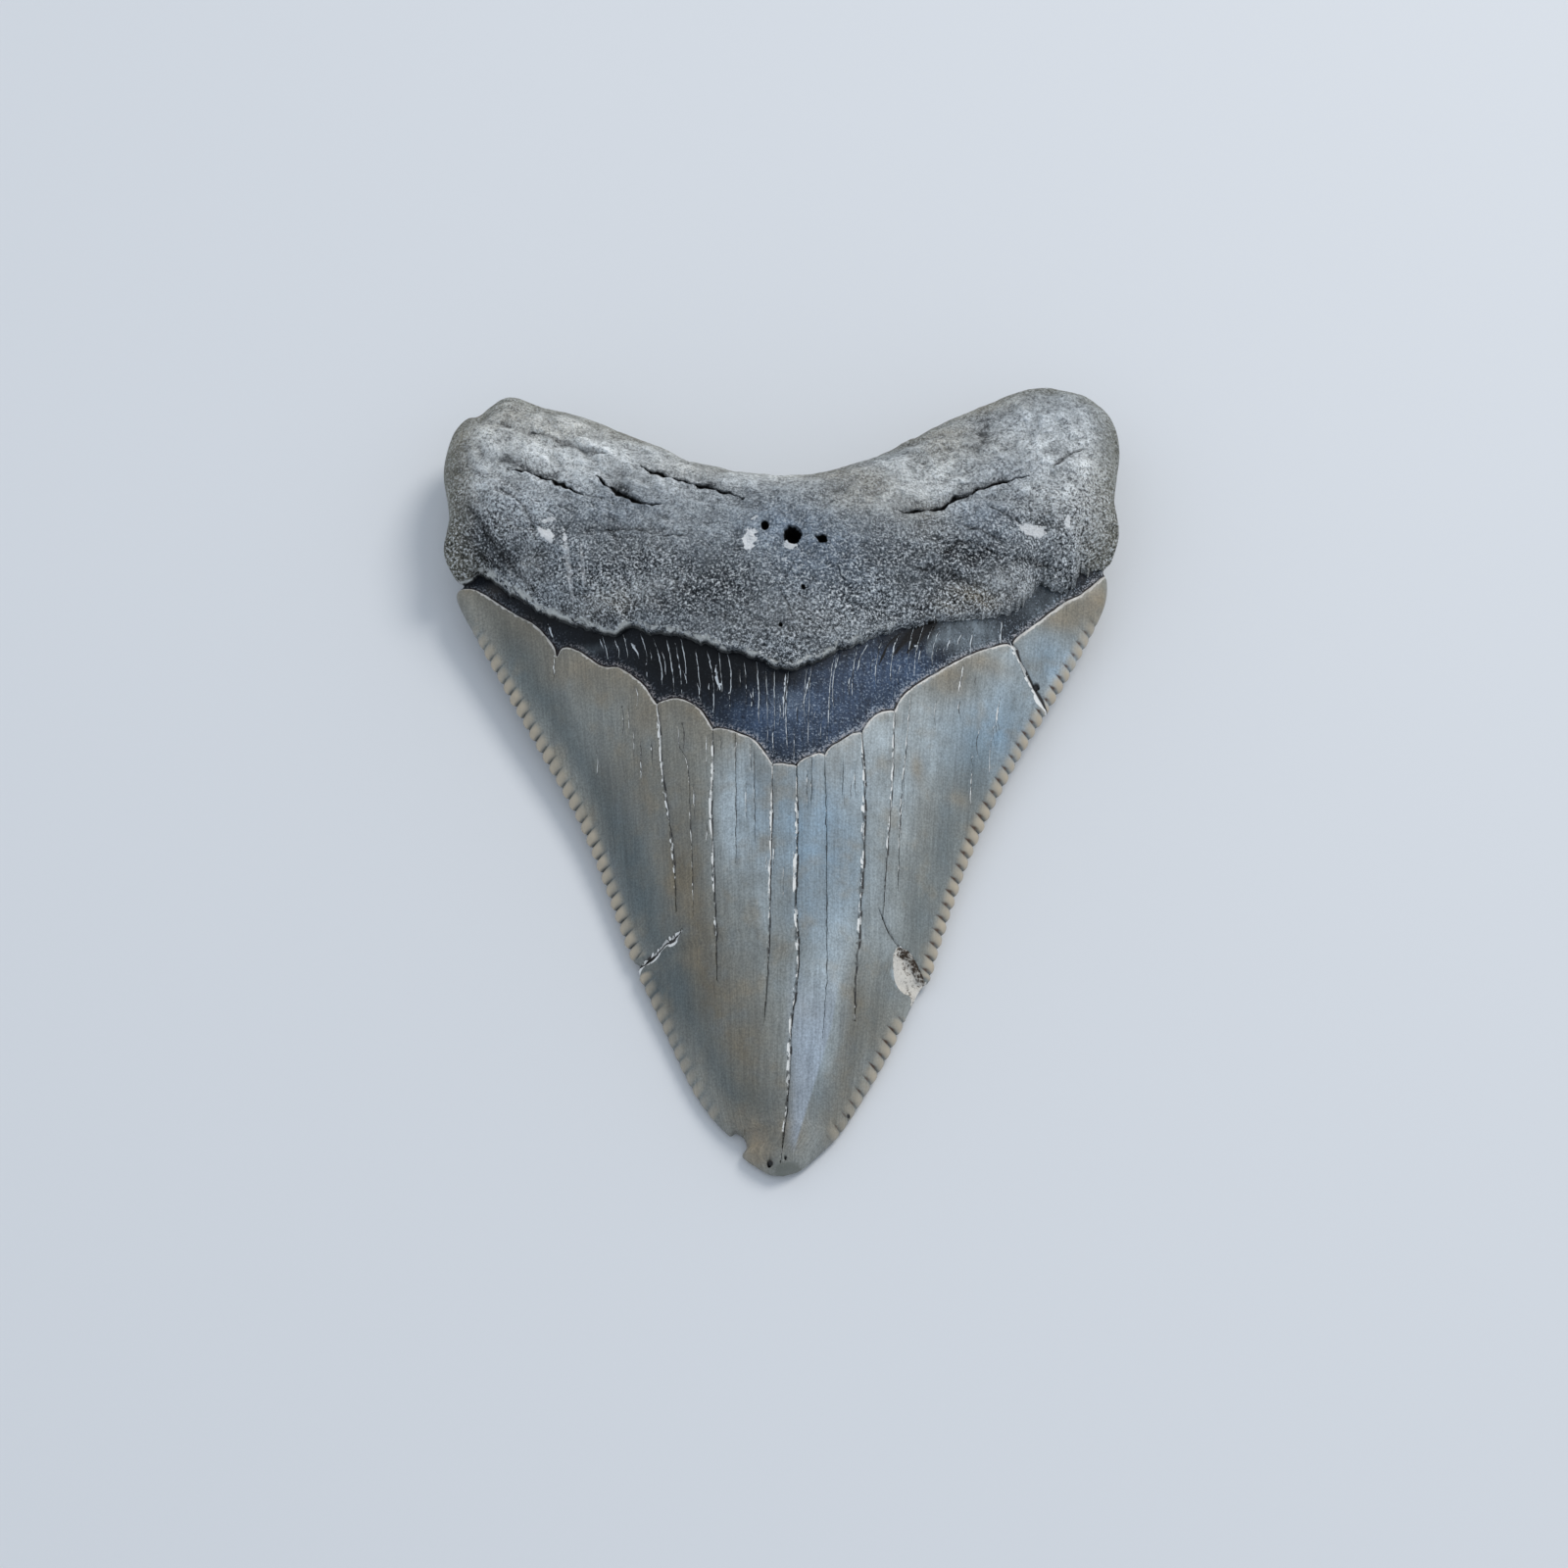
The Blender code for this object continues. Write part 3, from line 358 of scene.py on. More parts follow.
# Nothing nearer than this, in metres, shows.
CAMERA_NEAR = 0.01
FLOOR_HALF, FLOOR_COLOUR, FLOOR_ROUGHNESS = 1500, "#e0e2e4", 0.9
SKY_COLOUR, SKY_STRENGTH = "#dee8f5", 0.75
LAMPS = (("window", (290, 290, 475), 250, 1.6, "#fbf8f4"),)

# Node kinds that come up often. The inputs of a range are in order its value, where the value starts and
# ends, and where the result starts and ends.
MATH, RANGE = "ShaderNodeMath", "ShaderNodeMapRange"
NOISE, VECTOR = "ShaderNodeTexNoise", "ShaderNodeVectorMath"
# What every finish with cracks and holes reads at each point.
CRACK_FACTS = ("crack", "across", "filled", "hole")


def linear(code):
    """A colour such as "#8a8f93" as linear values."""
    parts = [int(code[k:k + 2], 16) / 255 for k in (1, 3, 5)]
    return (*[c / 12.92 if c <= 0.04045 else ((c + 0.055) / 1.055) ** 2.4 for c in parts], 1)


def smooth_curve(points, step):
    """A Catmull-Rom curve through the points, as points about one step apart."""
    p = np.array(points, float)
    p = np.vstack([2 * p[0] - p[1], p, 2 * p[-1] - p[-2]])
    dense = []
    for a, b, c, d in zip(p, p[1:], p[2:], p[3:]):
        t = np.linspace(0, 1, 40, endpoint=False)[:, None]
        dense.append(0.5 * (2 * b + (c - a) * t + (2 * a - 5 * b + 4 * c - d) * t**2
                            + (3 * b - a - 3 * c + d) * t**3))
    dense = np.vstack([*dense, p[-2:-1]])
    run = np.r_[0, np.cumsum(np.linalg.norm(np.diff(dense, axis=0), axis=1))]
    at = np.linspace(0, run[-1], max(2, round(run[-1] / step) + 1))
    return np.c_[np.interp(at, run, dense[:, 0]), np.interp(at, run, dense[:, 1])]


def nearest(points, line):
    """For each point, its distance to the line, the run along the line and the outward normal there."""
    a, b = line[:-1], line[1:]
    along = b - a
    length = np.linalg.norm(along, axis=1)
    run = np.r_[0, np.cumsum(length)]
    gaps, runs, normals = [], [], []
    for start in range(0, len(points), CHUNK):
        offset = points[start:start + CHUNK, None] - a
        share = np.clip((offset * along).sum(2) / length**2, 0, 1)
        square = ((offset - share[..., None] * along) ** 2).sum(2)
        k = square.argmin(axis=1)
        rows = np.arange(len(k))
        gaps.append(np.sqrt(square[rows, k]))
        runs.append(run[k] + share[rows, k] * length[k])
        normals.append(np.c_[along[k, 1], -along[k, 0]] / length[k, None])
    return np.concatenate(gaps), np.concatenate(runs), np.vstack(normals)


def smoothstep(low, high, value):
    t = np.clip((value - low) / (high - low), 0, 1)
    return t * t * (3 - 2 * t)


def side_of(points, line):
    """Distance to a line that runs from left to right, positive on its root side."""
    gap = nearest(points, line)[0]
    return np.where(points[:, 1] > np.interp(points[:, 0], line[:, 0], line[:, 1]), gap, -gap)


def round_over(depth, radius):
    """Height share of a quarter round, by depth in from the outline."""
    return np.sqrt(1 - (1 - np.clip(depth / radius, 0, 1)) ** 2)


def lumps(points, size, seed):
    return np.array([noise.fractal(Vector((x / size, y / size, seed)), *FRACTAL) for x, y in points])


def lobe_height(points):
    """Height up the root measured from a line that runs out along both lobes."""
    return points[:, 1] - LOBE_SLOPE * np.sqrt(points[:, 0] ** 2 + LOBE_TURN**2)


def weathering(points):
    """The root's relief about its mean: rounded folds with sharp creases between them, and lumps."""
    across = lobe_height(points) / FOLD_WIDTH + FOLD_BEND * lumps(points, *BEND_LUMPS)
    folds = [noise.turbulence(Vector((x / FOLD_LENGTH, y, FOLD_SEED)), 3, True)
             for x, y in zip(points[:, 0], across)]
    calm = FOLD_CALM + (1 - FOLD_CALM) * smoothstep(*CALM_SPAN, np.abs(points[:, 0]))
    relief = FOLD_HEIGHT * calm * (np.clip(folds, 0, 1.2) - FOLD_MEAN)
    return relief + sum(height * lumps(points, size, seed) for height, size, seed in ROOT_GRAIN)


def inside(points, outline):
    """Whether each point is inside the closed outline, by counting crossings."""
    a, b = outline, np.roll(outline, -1, axis=0)
    level = np.where(a[:, 1] == b[:, 1], 1, b[:, 1] - a[:, 1])
    slope = (b[:, 0] - a[:, 0]) / level
    found = []
    for start in range(0, len(points), CHUNK):
        x, y = points[start:start + CHUNK, :1], points[start:start + CHUNK, 1:]
        spans = (a[:, 1] > y) != (b[:, 1] > y)
        found.append((spans & (x < a[:, 0] + (y - a[:, 1]) * slope)).sum(axis=1) % 2 == 1)
    return np.concatenate(found)


def normals_of(line):
    along = np.gradient(line, axis=0)
    return np.c_[-along[:, 1], along[:, 0]] / np.linalg.norm(along, axis=1)[:, None]


def ragged(line, step, sway, size, seed):
    """The curve through the points, which wanders to its sides by up to about sway."""
    curve = smooth_curve(line, step)
    return curve + normals_of(curve) * (sway * lumps(curve, size, seed))[:, None]


def ragged_edge(line, sway, size, seed):
    """An edge that runs from left to right and wanders up and down by up to about sway."""
    curve = smooth_curve(line, RAGGED_STEP)
    curve[:, 1] += sway * lumps(curve, size, seed)
    return curve


def enamel_rim():
    """The enamel's upper edge, which dips into each crack that starts on it."""
    rim = ragged_edge(ENAMEL_EDGE, *ENAMEL_RAGGED)
    for line, width, *_ in BLADE_CRACKS:
        x, y = line[0]
        if width > 0.06 and abs(np.interp(x, rim[:, 0], rim[:, 1]) - y) < 0.5:
            rim[:, 1] -= RIM_DIP * np.exp(-np.abs(rim[:, 0] - x) / RIM_DIP_WIDTH)
    return rim


def ledge_line():
    """The root's ledge, ragged all along and broken into teeth over the right shoulder."""
    line = ragged_edge(ROOT_LEDGE, *LEDGE_RAGGED)
    toothed = math.prod(smoothstep(*span, line[:, 0]) for span in TOOTHED)
    line[:, 1] += LEDGE_TEETH * toothed * lumps(line, *TEETH_LUMPS)
    return line


class Crack:
    """A crack or a fine line: its middle, its half width, its depth, its share of white filling at both ends,
    how dark it is, and whether it has a sunken bank above it and a raised lip below."""

    def __init__(self, line, width, depth, filled=(0, 0), sway=0.05, seed=0.0, ink=1.0, banked=False):
        self.middle = ragged(line, LINE_STEP, sway, 0.6, seed)
        self.width, self.depth, self.filled, self.seed, self.ink = width, depth, filled, seed, ink
        self.banked = banked
        self.runs = np.r_[0, np.cumsum(np.linalg.norm(np.diff(self.middle, axis=0), axis=1))]
        self.length = self.runs[-1]

    def width_at(self, run):
        """The half width, which narrows towards both ends and varies on the way."""
        share = run / self.length
        varied = 1 + CRACK_VARIATION * np.sin(run * 2.3 + self.seed * 1.7) * np.sin(run * 0.9 + self.seed)
        return self.width * varied * (
            CRACK_END + (1 - CRACK_END) * np.clip(np.minimum(share, 1 - share) * CRACK_TAPER, 0, 1))

    def lines(self):
        """The middle and both sides, as lines for the mesh to follow."""
        share = np.linspace(0, 1, len(self.middle))
        offset = normals_of(self.middle) * self.width_at(share * self.length)[:, None]
        return [self.middle, self.middle + offset, self.middle - offset]

    def shape(self, points):
        """At each point: 1 on the middle and 0 outside, -1 to 1 from side to side, the filling, and the
        cut."""
        margin = 3 * BANK_WIDTH if self.banked else 1.5 * self.width
        low, high = self.middle.min(axis=0) - margin, self.middle.max(axis=0) + margin
        close, across, filled, cut = np.zeros((4, len(points)))
        here = np.flatnonzero(((points > low) & (points < high)).all(axis=1))
        if len(here):
            gap, run, normal = nearest(points[here], self.middle)
            width = self.width_at(run)
            share = run / self.length
            near = np.clip(1 - gap / width, 0, 1)
            at = np.c_[[np.interp(run, self.runs, self.middle[:, k]) for k in (0, 1)]].T
            side = ((points[here] - at) * normal).sum(axis=1)
            close[here] = self.ink * near
            across[here] = np.clip(side / width, -1, 1)
            filled[here] = np.interp(share, (0, 1), self.filled)
            cut[here] = self.depth * near
            if self.banked:
                bank = np.where(side < 0, BANK_DEPTH * np.exp(-((gap / BANK_WIDTH) ** 2)),
                                -LIP_HEIGHT * np.exp(-((gap / LIP_WIDTH) ** 2)))
                cut[here] += bank * np.clip(np.minimum(share, 1 - share) * 4, 0, 1)
        return close, across, filled, cut


def cracks_at(points, cracks):
    """The nearest crack's closeness, side and filling at each point, and what all the cracks cut away
    there."""
    close, across, filled, cut = np.zeros((4, len(points)))
    for crack in cracks:
        near, side, white, deep = crack.shape(points)
        nearer = near > close
        across, filled = np.where(nearer, side, across), np.where(nearer, white, filled)
        close = np.maximum(close, near)
        cut += deep
    return close, across, filled, cut


def hairlines():
    """The fine white lines of the bourlette and of the upper enamel, which fan out from the middle line."""
    rng = random.Random(SEED)
    ledge, enamel = smooth_curve(ROOT_LEDGE, CURVE_STEP), smooth_curve(ENAMEL_EDGE, CURVE_STEP)
    hairs = []
    for count, kind in ((LONG_HAIRS, "long"), (SHORT_HAIRS, "short"), (ENAMEL_HAIRS, "enamel")):
        for k in range(count):
            x = rng.uniform(-15, 17) if kind == "enamel" else -14 + 27 * (k + rng.uniform(0, 1)) / count
            if SPARSE_HAIRS[0] < x < SPARSE_HAIRS[1] and k % 2:
                continue
            upper, lower = [np.interp(x, edge[:, 0], edge[:, 1]) for edge in (ledge, enamel)]
            band = upper - lower
            start, length, white = {
                "long": (upper - rng.uniform(0.05, 0.6), rng.uniform(0.5, 1.0) * band,
                         rng.uniform(0.75, 1.0)),
                "short": (upper - rng.uniform(0.1, 0.7) * band, rng.uniform(0.15, 0.35) * band,
                          rng.uniform(0.5, 0.8)),
                "enamel": (lower - rng.uniform(0.3, 9), rng.uniform(0.7, 2.6), rng.uniform(0.4, 0.7)),
            }[kind]
            if kind != "enamel":
                length = min(length, start - lower - 0.25)
            if length < 0.5:
                continue
            lean = -HAIR_LEAN * x * (0.2 if kind == "enamel" else 1)
            bend = rng.uniform(-0.05, 0.15) * math.copysign(1, -x)
            line = [(x + lean * d * (1 - d / length / 2) + bend * math.sin(math.pi * d / length), start - d)
                    for d in np.linspace(0, length, 5)]
            width = HAIR_WIDTH * rng.uniform(0.6, 1.3)
            hairs.append(Crack(line, width, HAIR_DEPTH, (white, 0.8 * white), sway=0.04, seed=k))
    return hairs + [Crack(*line, sway=0.06, seed=70 + k) for k, line in enumerate(THICK_HAIRS)]


class ToothForm:
    """The tooth's two faces as heights over its outline."""

    def __init__(self):
        self.right = smooth_curve(RIGHT_EDGE, CURVE_STEP)
        self.left = smooth_curve(LEFT_EDGE, CURVE_STEP)
        root = smooth_curve(ROOT_SIDE, CURVE_STEP)
        self.outline = np.vstack([self.right[:-1], root[:-1], self.left[::-1]])
        self.ledge = ledge_line()
        self.enamel = enamel_rim()
        self.labial = smooth_curve(LABIAL_EDGE, CURVE_STEP)
        back = root[root[:, 1] > ROOT_BACK_Y]
        self.back = back[np.argsort(back[:, 0])]
        self.root_cracks = [Crack(line, ROOT_CRACK_SHARE * width, depth, sway=0.22, seed=3 * k, banked=True)
                            for k, (line, width, depth) in enumerate(ROOT_CRACKS)]
        self.root_lines = [Crack(*line, sway=0.1, seed=20 + k, ink=FOLD_INK)
                           for k, line in enumerate(ROOT_LINES)]
        self.blade_cracks = [Crack(*line, sway=0.05, seed=40 + k) for k, line in enumerate(BLADE_CRACKS)]
        self.hairs = hairlines()
        self.chip = smooth_curve(CHIP_RIM + CHIP_RIM[:1], 0.2)

    def place_across(self, points):
        """The place from -1 on the left cutting edge to 1 on the right one, and the blade's width there."""
        left, right = (np.interp(points[:, 1], edge[:, 1], edge[:, 0]) for edge in (self.left, self.right))
        return (2 * points[:, 0] - right - left) / np.maximum(right - left, 0.1), right - left

    def across(self, points):
        """1 on the blade's middle line and 0 on its cutting edges, at the same height y."""
        return np.clip(1 - self.place_across(points)[0] ** 2, 0, 1)

    def growth(self, points):
        """A sideways place in millimetres whose lines of equal value close up from the root to the tip."""
        share, width = self.place_across(points)
        return GROWTH_WIDTH * share * np.maximum(width / 2 / GROWTH_WIDTH, 0.02) ** GROWTH_SPREAD

    def edge_height(self, points):
        rise = np.clip((points[:, 1] - EDGE_TIP_Y) / EDGE_RISE_LENGTH, 0, 1)
        return EDGE_HEIGHT_TIP + EDGE_HEIGHT_RISE * rise**EDGE_RISE_POWER

    def outline_height(self, points):
        in_root = smoothstep(*ROOT_BLEND, side_of(points, self.ledge))
        return self.edge_height(points) * (1 - in_root) + ROOT_MIDDLE_Z * in_root

    def blade_top(self, points, depth, to_enamel):
        below = np.clip((BLADE_FULL_Y - points[:, 1]) / BLADE_LENGTH, 0, 1)
        thick = BLADE_THICKNESS * (1 - below**2) ** BLADE_TAPER
        enamel = ENAMEL_STEP * smoothstep(ENAMEL_STEP_WIDTH, -ENAMEL_STEP_WIDTH, to_enamel)
        return (self.edge_height(points) + thick * self.across(points) ** BLADE_SIDES
                + (EDGE_ROUND + enamel) * round_over(depth, EDGE_ROUND_WIDTH))

    def root_top(self, points, blade, ledge):
        x, y = points.T
        front = np.interp(x, self.ledge[:, 0], self.ledge[:, 1])
        back = np.interp(x, self.back[:, 0], self.back[:, 1])
        share = np.clip((y - front) / np.maximum(back - front, 1), 0, 1)
        ridge = RIDGE_LOBE + RIDGE_MIDDLE * np.exp(-((x / RIDGE_WIDTH) ** 2)) - (np.abs(x) / LOBE_END) ** 4
        ridge -= ROOT_BACK_DROP * np.clip((share - RIDGE_AT) / (1 - RIDGE_AT), 0, 1) ** 2
        rise = np.sin(math.pi / 2 * np.clip(share / RIDGE_AT, 0, 1)) ** RIDGE_ROUND
        ledge_top = blade + LEDGE_STEP * round_over(ledge, LEDGE_LIP)
        return ledge_top + (ridge - ledge_top) * rise

    def lingual(self, points):
        """Heights of the face that looks up, and what the finishes need to know of each point."""
        depth = nearest(points, self.outline)[0]
        to_ledge, to_enamel = side_of(points, self.ledge), side_of(points, self.enamel)
        in_root = to_ledge > 0
        blade = self.blade_top(points, depth, to_enamel)
        root = self.root_top(points, blade, np.maximum(to_ledge, 0))
        root += LUMP_HEIGHT * lumps(points, LUMP_SIZE, 3.1) * np.clip(to_ledge, 0, 1)
        relief = np.zeros(len(points))
        relief[in_root] = weathering(points[in_root])
        crack, across, filled, cut = cracks_at(points, self.root_cracks + self.root_lines)
        root += (relief - RELIEF_DROP) * np.clip(to_ledge / 0.5, 0.15, 1) - cut
        # What the relief leaves after the cracks' cut sets the root's painted shade in hollows and painted
        # light on rises.
        relief = np.clip(0.5 + (relief - cut) / RELIEF_SPAN, 0, 1)
        low = self.outline_height(points)
        root = low + (root - low) * round_over(depth, ROOT_ROUND)
        fine, fine_across, fine_filled, cut = cracks_at(points, self.blade_cracks + self.hairs)
        blade -= cut * np.clip(depth / 0.3, 0, 1)
        top = np.where(in_root, root, blade)
        hole = np.zeros(len(points))
        ragged_by = 1 + HOLE_RAGGED * lumps(points, *HOLE_LUMPS)
        for x, y, radius, deep in PITS + SMALL_HOLES:
            away = np.hypot(points[:, 0] - x, (points[:, 1] - y) / HOLE_STRETCH) * ragged_by
            within = smoothstep(radius, HOLE_FLOOR * radius, away)
            top -= deep * within
            hole = np.maximum(hole, within)
        chip = inside(points, self.chip[:-1]) * smoothstep(0, CHIP_WALL, nearest(points, self.chip)[0])
        top += CHIP_GRAIN * lumps(points, *CHIP_LUMPS) * chip
        floor = self.edge_height(points) + CHIP_FLOOR
        top = np.where(in_root, top, np.maximum(top - CHIP_DEPTH * chip, floor))
        return top, {"crack": np.where(in_root, crack, fine), "hole": hole, "chip": chip,
                     "across": np.where(in_root, across, fine_across),
                     "filled": np.where(in_root, filled, fine_filled), "depth": depth,
                     "to_ledge": to_ledge, "to_enamel": to_enamel, "relief": relief}

    def labial_face(self, points):
        """Heights of the face that looks down, with its worn flats cut off at the floor."""
        x, y = points.T
        depth = nearest(points, self.outline)[0]
        edge = self.edge_height(points)
        toward_root = np.clip((y - TIP_FLAT_Y) / LABIAL_REACH_ROOT, 0, 1.2) ** 2
        toward_tip = np.clip((TIP_FLAT_Y - y) / LABIAL_REACH_TIP, 0, 1.5) ** 2
        middle = -FLAT_DEPTH + LABIAL_RISE_ROOT * toward_root + LABIAL_RISE_TIP * toward_tip
        share = self.across(points) ** 0.8
        rounded = 0.5 * EDGE_ROUND * round_over(depth, EDGE_ROUND_WIDTH)
        blade = edge + (middle - edge) * share - rounded * (1 - share)
        lobe = ((np.abs(x) - LOBE_FLAT[0]) / LOBE_SPREAD[0]) ** 2 + ((y - LOBE_FLAT[1]) / LOBE_SPREAD[1]) ** 2
        root = -FLAT_DEPTH + LOBE_RISE * lobe / (1 + 0.3 * lobe) + LABIAL_LUMP * lumps(points, LUMP_SIZE, 9.4)
        to_labial = side_of(points, self.labial)
        root += sum(height * lumps(points, size, seed + UNDER_SEED) for height, size, seed in ROOT_GRAIN)
        low = self.outline_height(points)
        root = low + (root - low) * round_over(depth, LABIAL_ROUND)
        in_root = smoothstep(*LABIAL_BLEND, to_labial)
        none = np.zeros(len(points))
        return np.maximum(blade + (root - blade) * in_root, 0), {
            "crack": none, "across": none, "filled": none, "hole": none, "chip": none, "depth": depth,
            "to_ledge": to_labial, "to_enamel": to_labial, "relief": none + 0.5}


def hex_points(step, outline, keep=None):
    """A triangular lattice over the outline's box, with the points that keep picks."""
    low, high = outline.min(axis=0), outline.max(axis=0)
    rows = np.arange(low[1], high[1], step * math.sqrt(3) / 2)
    columns = np.arange(low[0], high[0], step)
    points = np.array([(x + step / 2 * (k % 2), y) for k, y in enumerate(rows) for x in columns])
    return points[keep(points)] if keep else points


def ring(outline, normal, inset):
    """Points at an inset inside the outline, left out where the outline bends too close to them."""
    moved = outline - normal * inset
    return moved[nearest(moved, np.vstack([outline, outline[:1]]))[0] > RING_CLEAR * inset]


def plan_outline():
    """The outline's points and outward normals, with ten points to a serration on the cutting edges."""
    right = smooth_curve(RIGHT_EDGE, EDGE_STEP)
    root = smooth_curve(ROOT_SIDE, ROOT_STEP)
    left = smooth_curve(LEFT_EDGE, EDGE_STEP)[::-1]
    points = np.vstack([right[:-1], root[:-1], left[:-1]])
    along = np.roll(points, -1, axis=0) - np.roll(points, 1, axis=0)
    return points, np.c_[along[:, 1], -along[:, 0]] / np.linalg.norm(along, axis=1)[:, None]


class Plan:
    """The points of one sheet, seen from above: the outline, then lines that edges follow, then free
    points."""

    def __init__(self, outline):
        self.outline = outline
        self.points = [*outline]
        count = len(outline)
        self.edges = [(k, (k + 1) % count) for k in range(count)]

    def follow(self, line):
        """Adds a line that the triangles' edges follow, where it is clear of the outline."""
        closed = np.vstack([self.outline, self.outline[:1]])
        clear = inside(line, self.outline) & (nearest(line, closed)[0] > LINE_CLEARANCE)
        before = None
        for point, used in zip(line, clear):
            if used:
                self.points.append(point)
                if before is not None:
                    self.edges.append((before, len(self.points) - 1))
            before = len(self.points) - 1 if used else None

    def scatter(self, points, gap):
        """Adds the points inside the outline that keep this gap to those before."""
        tree = kdtree.KDTree(len(self.points))
        for k, (x, y) in enumerate(self.points):
            tree.insert((x, y, 0), k)
        tree.balance()
        self.points += [p for p in points[inside(points, self.outline)] if tree.find((*p, 0))[2] > gap]

    def triangles(self):
        """Delaunay triangles inside the outline, as points and faces. The outline's points come first."""
        count = len(self.outline)
        vectors = [Vector(p) for p in self.points]
        places, _, faces, origins, *_ = delaunay_2d_cdt(vectors, self.edges, [list(range(count))], 1, 1e-6)
        order = [min(sources) if sources and min(sources) < count else None for sources in origins]
        if sorted(k for k in order if k is not None) != list(range(count)):
            raise ValueError("a line of the plan meets the outline")
        inner = iter(range(count, len(places)))
        order = [next(inner) if k is None else k for k in order]
        points = np.empty((len(places), 2))
        points[order] = [tuple(p) for p in places]
        middles, found = [], []
        for a, b, c in ([order[k] for k in face] for face in faces):
            if max(a, b, c) >= count:
                found.append((a, b, c))
                continue
            middle = len(points) + len(middles)
            middles.append(points[[a, b, c]].mean(axis=0))
            found += [(a, b, middle), (b, c, middle), (c, a, middle)]
        return np.vstack([points, *middles]), np.array(found)


def lingual_plan(form, outline, normal):
    plan = Plan(outline)
    plan.follow(form.ledge)
    plan.follow(form.enamel)
    for crack in form.root_cracks + form.root_lines + form.blade_cracks + form.hairs:
        for line in crack.lines():
            plan.follow(line)
    plan.follow(form.chip)
    plan.scatter(np.vstack([form.ledge + (0, offset) for offset in LEDGE_ROWS]), 0.05)
    turn = np.linspace(0, 2 * math.pi, HOLE_POINTS, endpoint=False)
    for x, y, radius, _ in PITS + SMALL_HOLES:
        for share in HOLE_RINGS:
            plan.scatter((x, y) + radius * share * np.c_[np.cos(turn), HOLE_STRETCH * np.sin(turn)], 0.03)
    plan.scatter(form.chip[:-1] + normals_of(form.chip[:-1]) * CHIP_WALL, 0.08)
    for inset in EDGE_INSETS:
        beads = ring(outline, normal, inset)
        plan.scatter(beads[side_of(beads, form.ledge) < 0], 0.06)
    for angle in ROOT_BANDS:
        band = ring(outline, normal, ROOT_ROUND * (1 - math.cos(math.radians(angle))))
        plan.scatter(band[side_of(band, form.ledge) > 0.3], 0.06)
    x_edge, y_edge = np.transpose(WEDGE_EDGE)
    y = np.arange(y_edge[0], y_edge[-1], 2 * EDGE_STEP)
    wedge = np.c_[np.interp(y, y_edge, x_edge), y]
    plan.scatter(np.vstack([wedge - (WEDGE_SOFT, 0), wedge + (WEDGE_SOFT, 0)]), 0.06)
    for cell, keep in (
            (CELL_BOURLETTE, lambda p: (side_of(p, form.ledge) < 0) & (side_of(p, form.enamel) > 0)),
            (CELL_ROOT, lambda p: side_of(p, form.ledge) > 0),
            (CELL_ENAMEL, lambda p: side_of(p, form.enamel) < 0)):
        plan.scatter(hex_points(cell, outline, keep), CELL_CLEAR * cell)
    return plan.triangles()


def labial_plan(form, outline, normal):
    plan = Plan(outline)
    plan.follow(form.labial)
    for inset in EDGE_INSETS[::2]:
        beads = ring(outline, normal, inset)
        plan.scatter(beads[side_of(beads, form.labial) < 0], 0.08)
    for angle in UNDER_BANDS:
        band = ring(outline, normal, LABIAL_ROUND * (1 - math.cos(math.radians(angle))))
        plan.scatter(band[side_of(band, form.labial) > 0], 0.1)
    plan.scatter(hex_points(CELL_UNDER, outline), CELL_CLEAR * CELL_UNDER)
    return plan.triangles()


def soft_spots(points, spots):
    """The sum of soft round spots, each as (x, y, half width, half height, amount)."""
    x, y = points.T
    total = sum((amount * np.exp(-(((x - a) / w) ** 2) - ((y - b) / h) ** 2) for a, b, w, h, amount in spots),
                np.zeros(len(points)))
    return np.clip(total, 0, 1)


def pale_wedge(points):
    """How much of the pale wedge above the tip covers each point: sharp on its right side and soft on its
    left. The wedge is partly a painted sheen."""
    x, y = points.T
    x_edge, y_edge = np.transpose(WEDGE_EDGE)
    along = smoothstep(-31.2, -30, y) * smoothstep(-17, -23, y)
    sharp = smoothstep(WEDGE_SOFT, -WEDGE_SOFT, x - np.interp(y, y_edge, x_edge))
    return along * sharp * smoothstep(0.2, 1.4, x)


def chalk_at(points):
    """How deep each point lies in a white spot: 1 at its middle, 0 at its rim and below 0 outside."""
    best = np.full(len(points), -1.0)
    for x, y, wide, high, turn, _ in CHALK_SPOTS:
        c, s = math.cos(math.radians(turn)), math.sin(math.radians(turn))
        dx, dy = points[:, 0] - x, points[:, 1] - y
        u, v = (dx * c + dy * s) / wide, (dy * c - dx * s) / high
        best = np.maximum(best, 1 - np.hypot(u, v))
    return best


def chalk_white(points):
    """How white the nearest white spot is."""
    gaps = [np.hypot(points[:, 0] - x, points[:, 1] - y) for x, y, *_ in CHALK_SPOTS]
    return np.array([spot[-1] for spot in CHALK_SPOTS])[np.argmin(gaps, axis=0)]


def along_edges(points, form, depth):
    """For the serrations: the run along the nearer cutting edge, its outward normal and the strength
    there."""
    run, bite, outward = np.zeros(len(points)), np.zeros(len(points)), np.zeros((len(points), 3))
    near = np.flatnonzero(depth < RIPPLE_REACH)
    best = np.full(len(near), np.inf)
    for line, share, sign in ((form.right, RIGHT_BITE, 1), (form.left, LEFT_BITE, -1)):
        gap, along, normal = nearest(points[near], line)
        closer = gap < best
        here = near[closer]
        run[here] = along[closer]
        bite[here] = np.interp(points[here, 1], *np.transpose(share))
        outward[here, :2] = sign * normal[closer]
        best = np.minimum(best, gap)
    return run, bite, outward


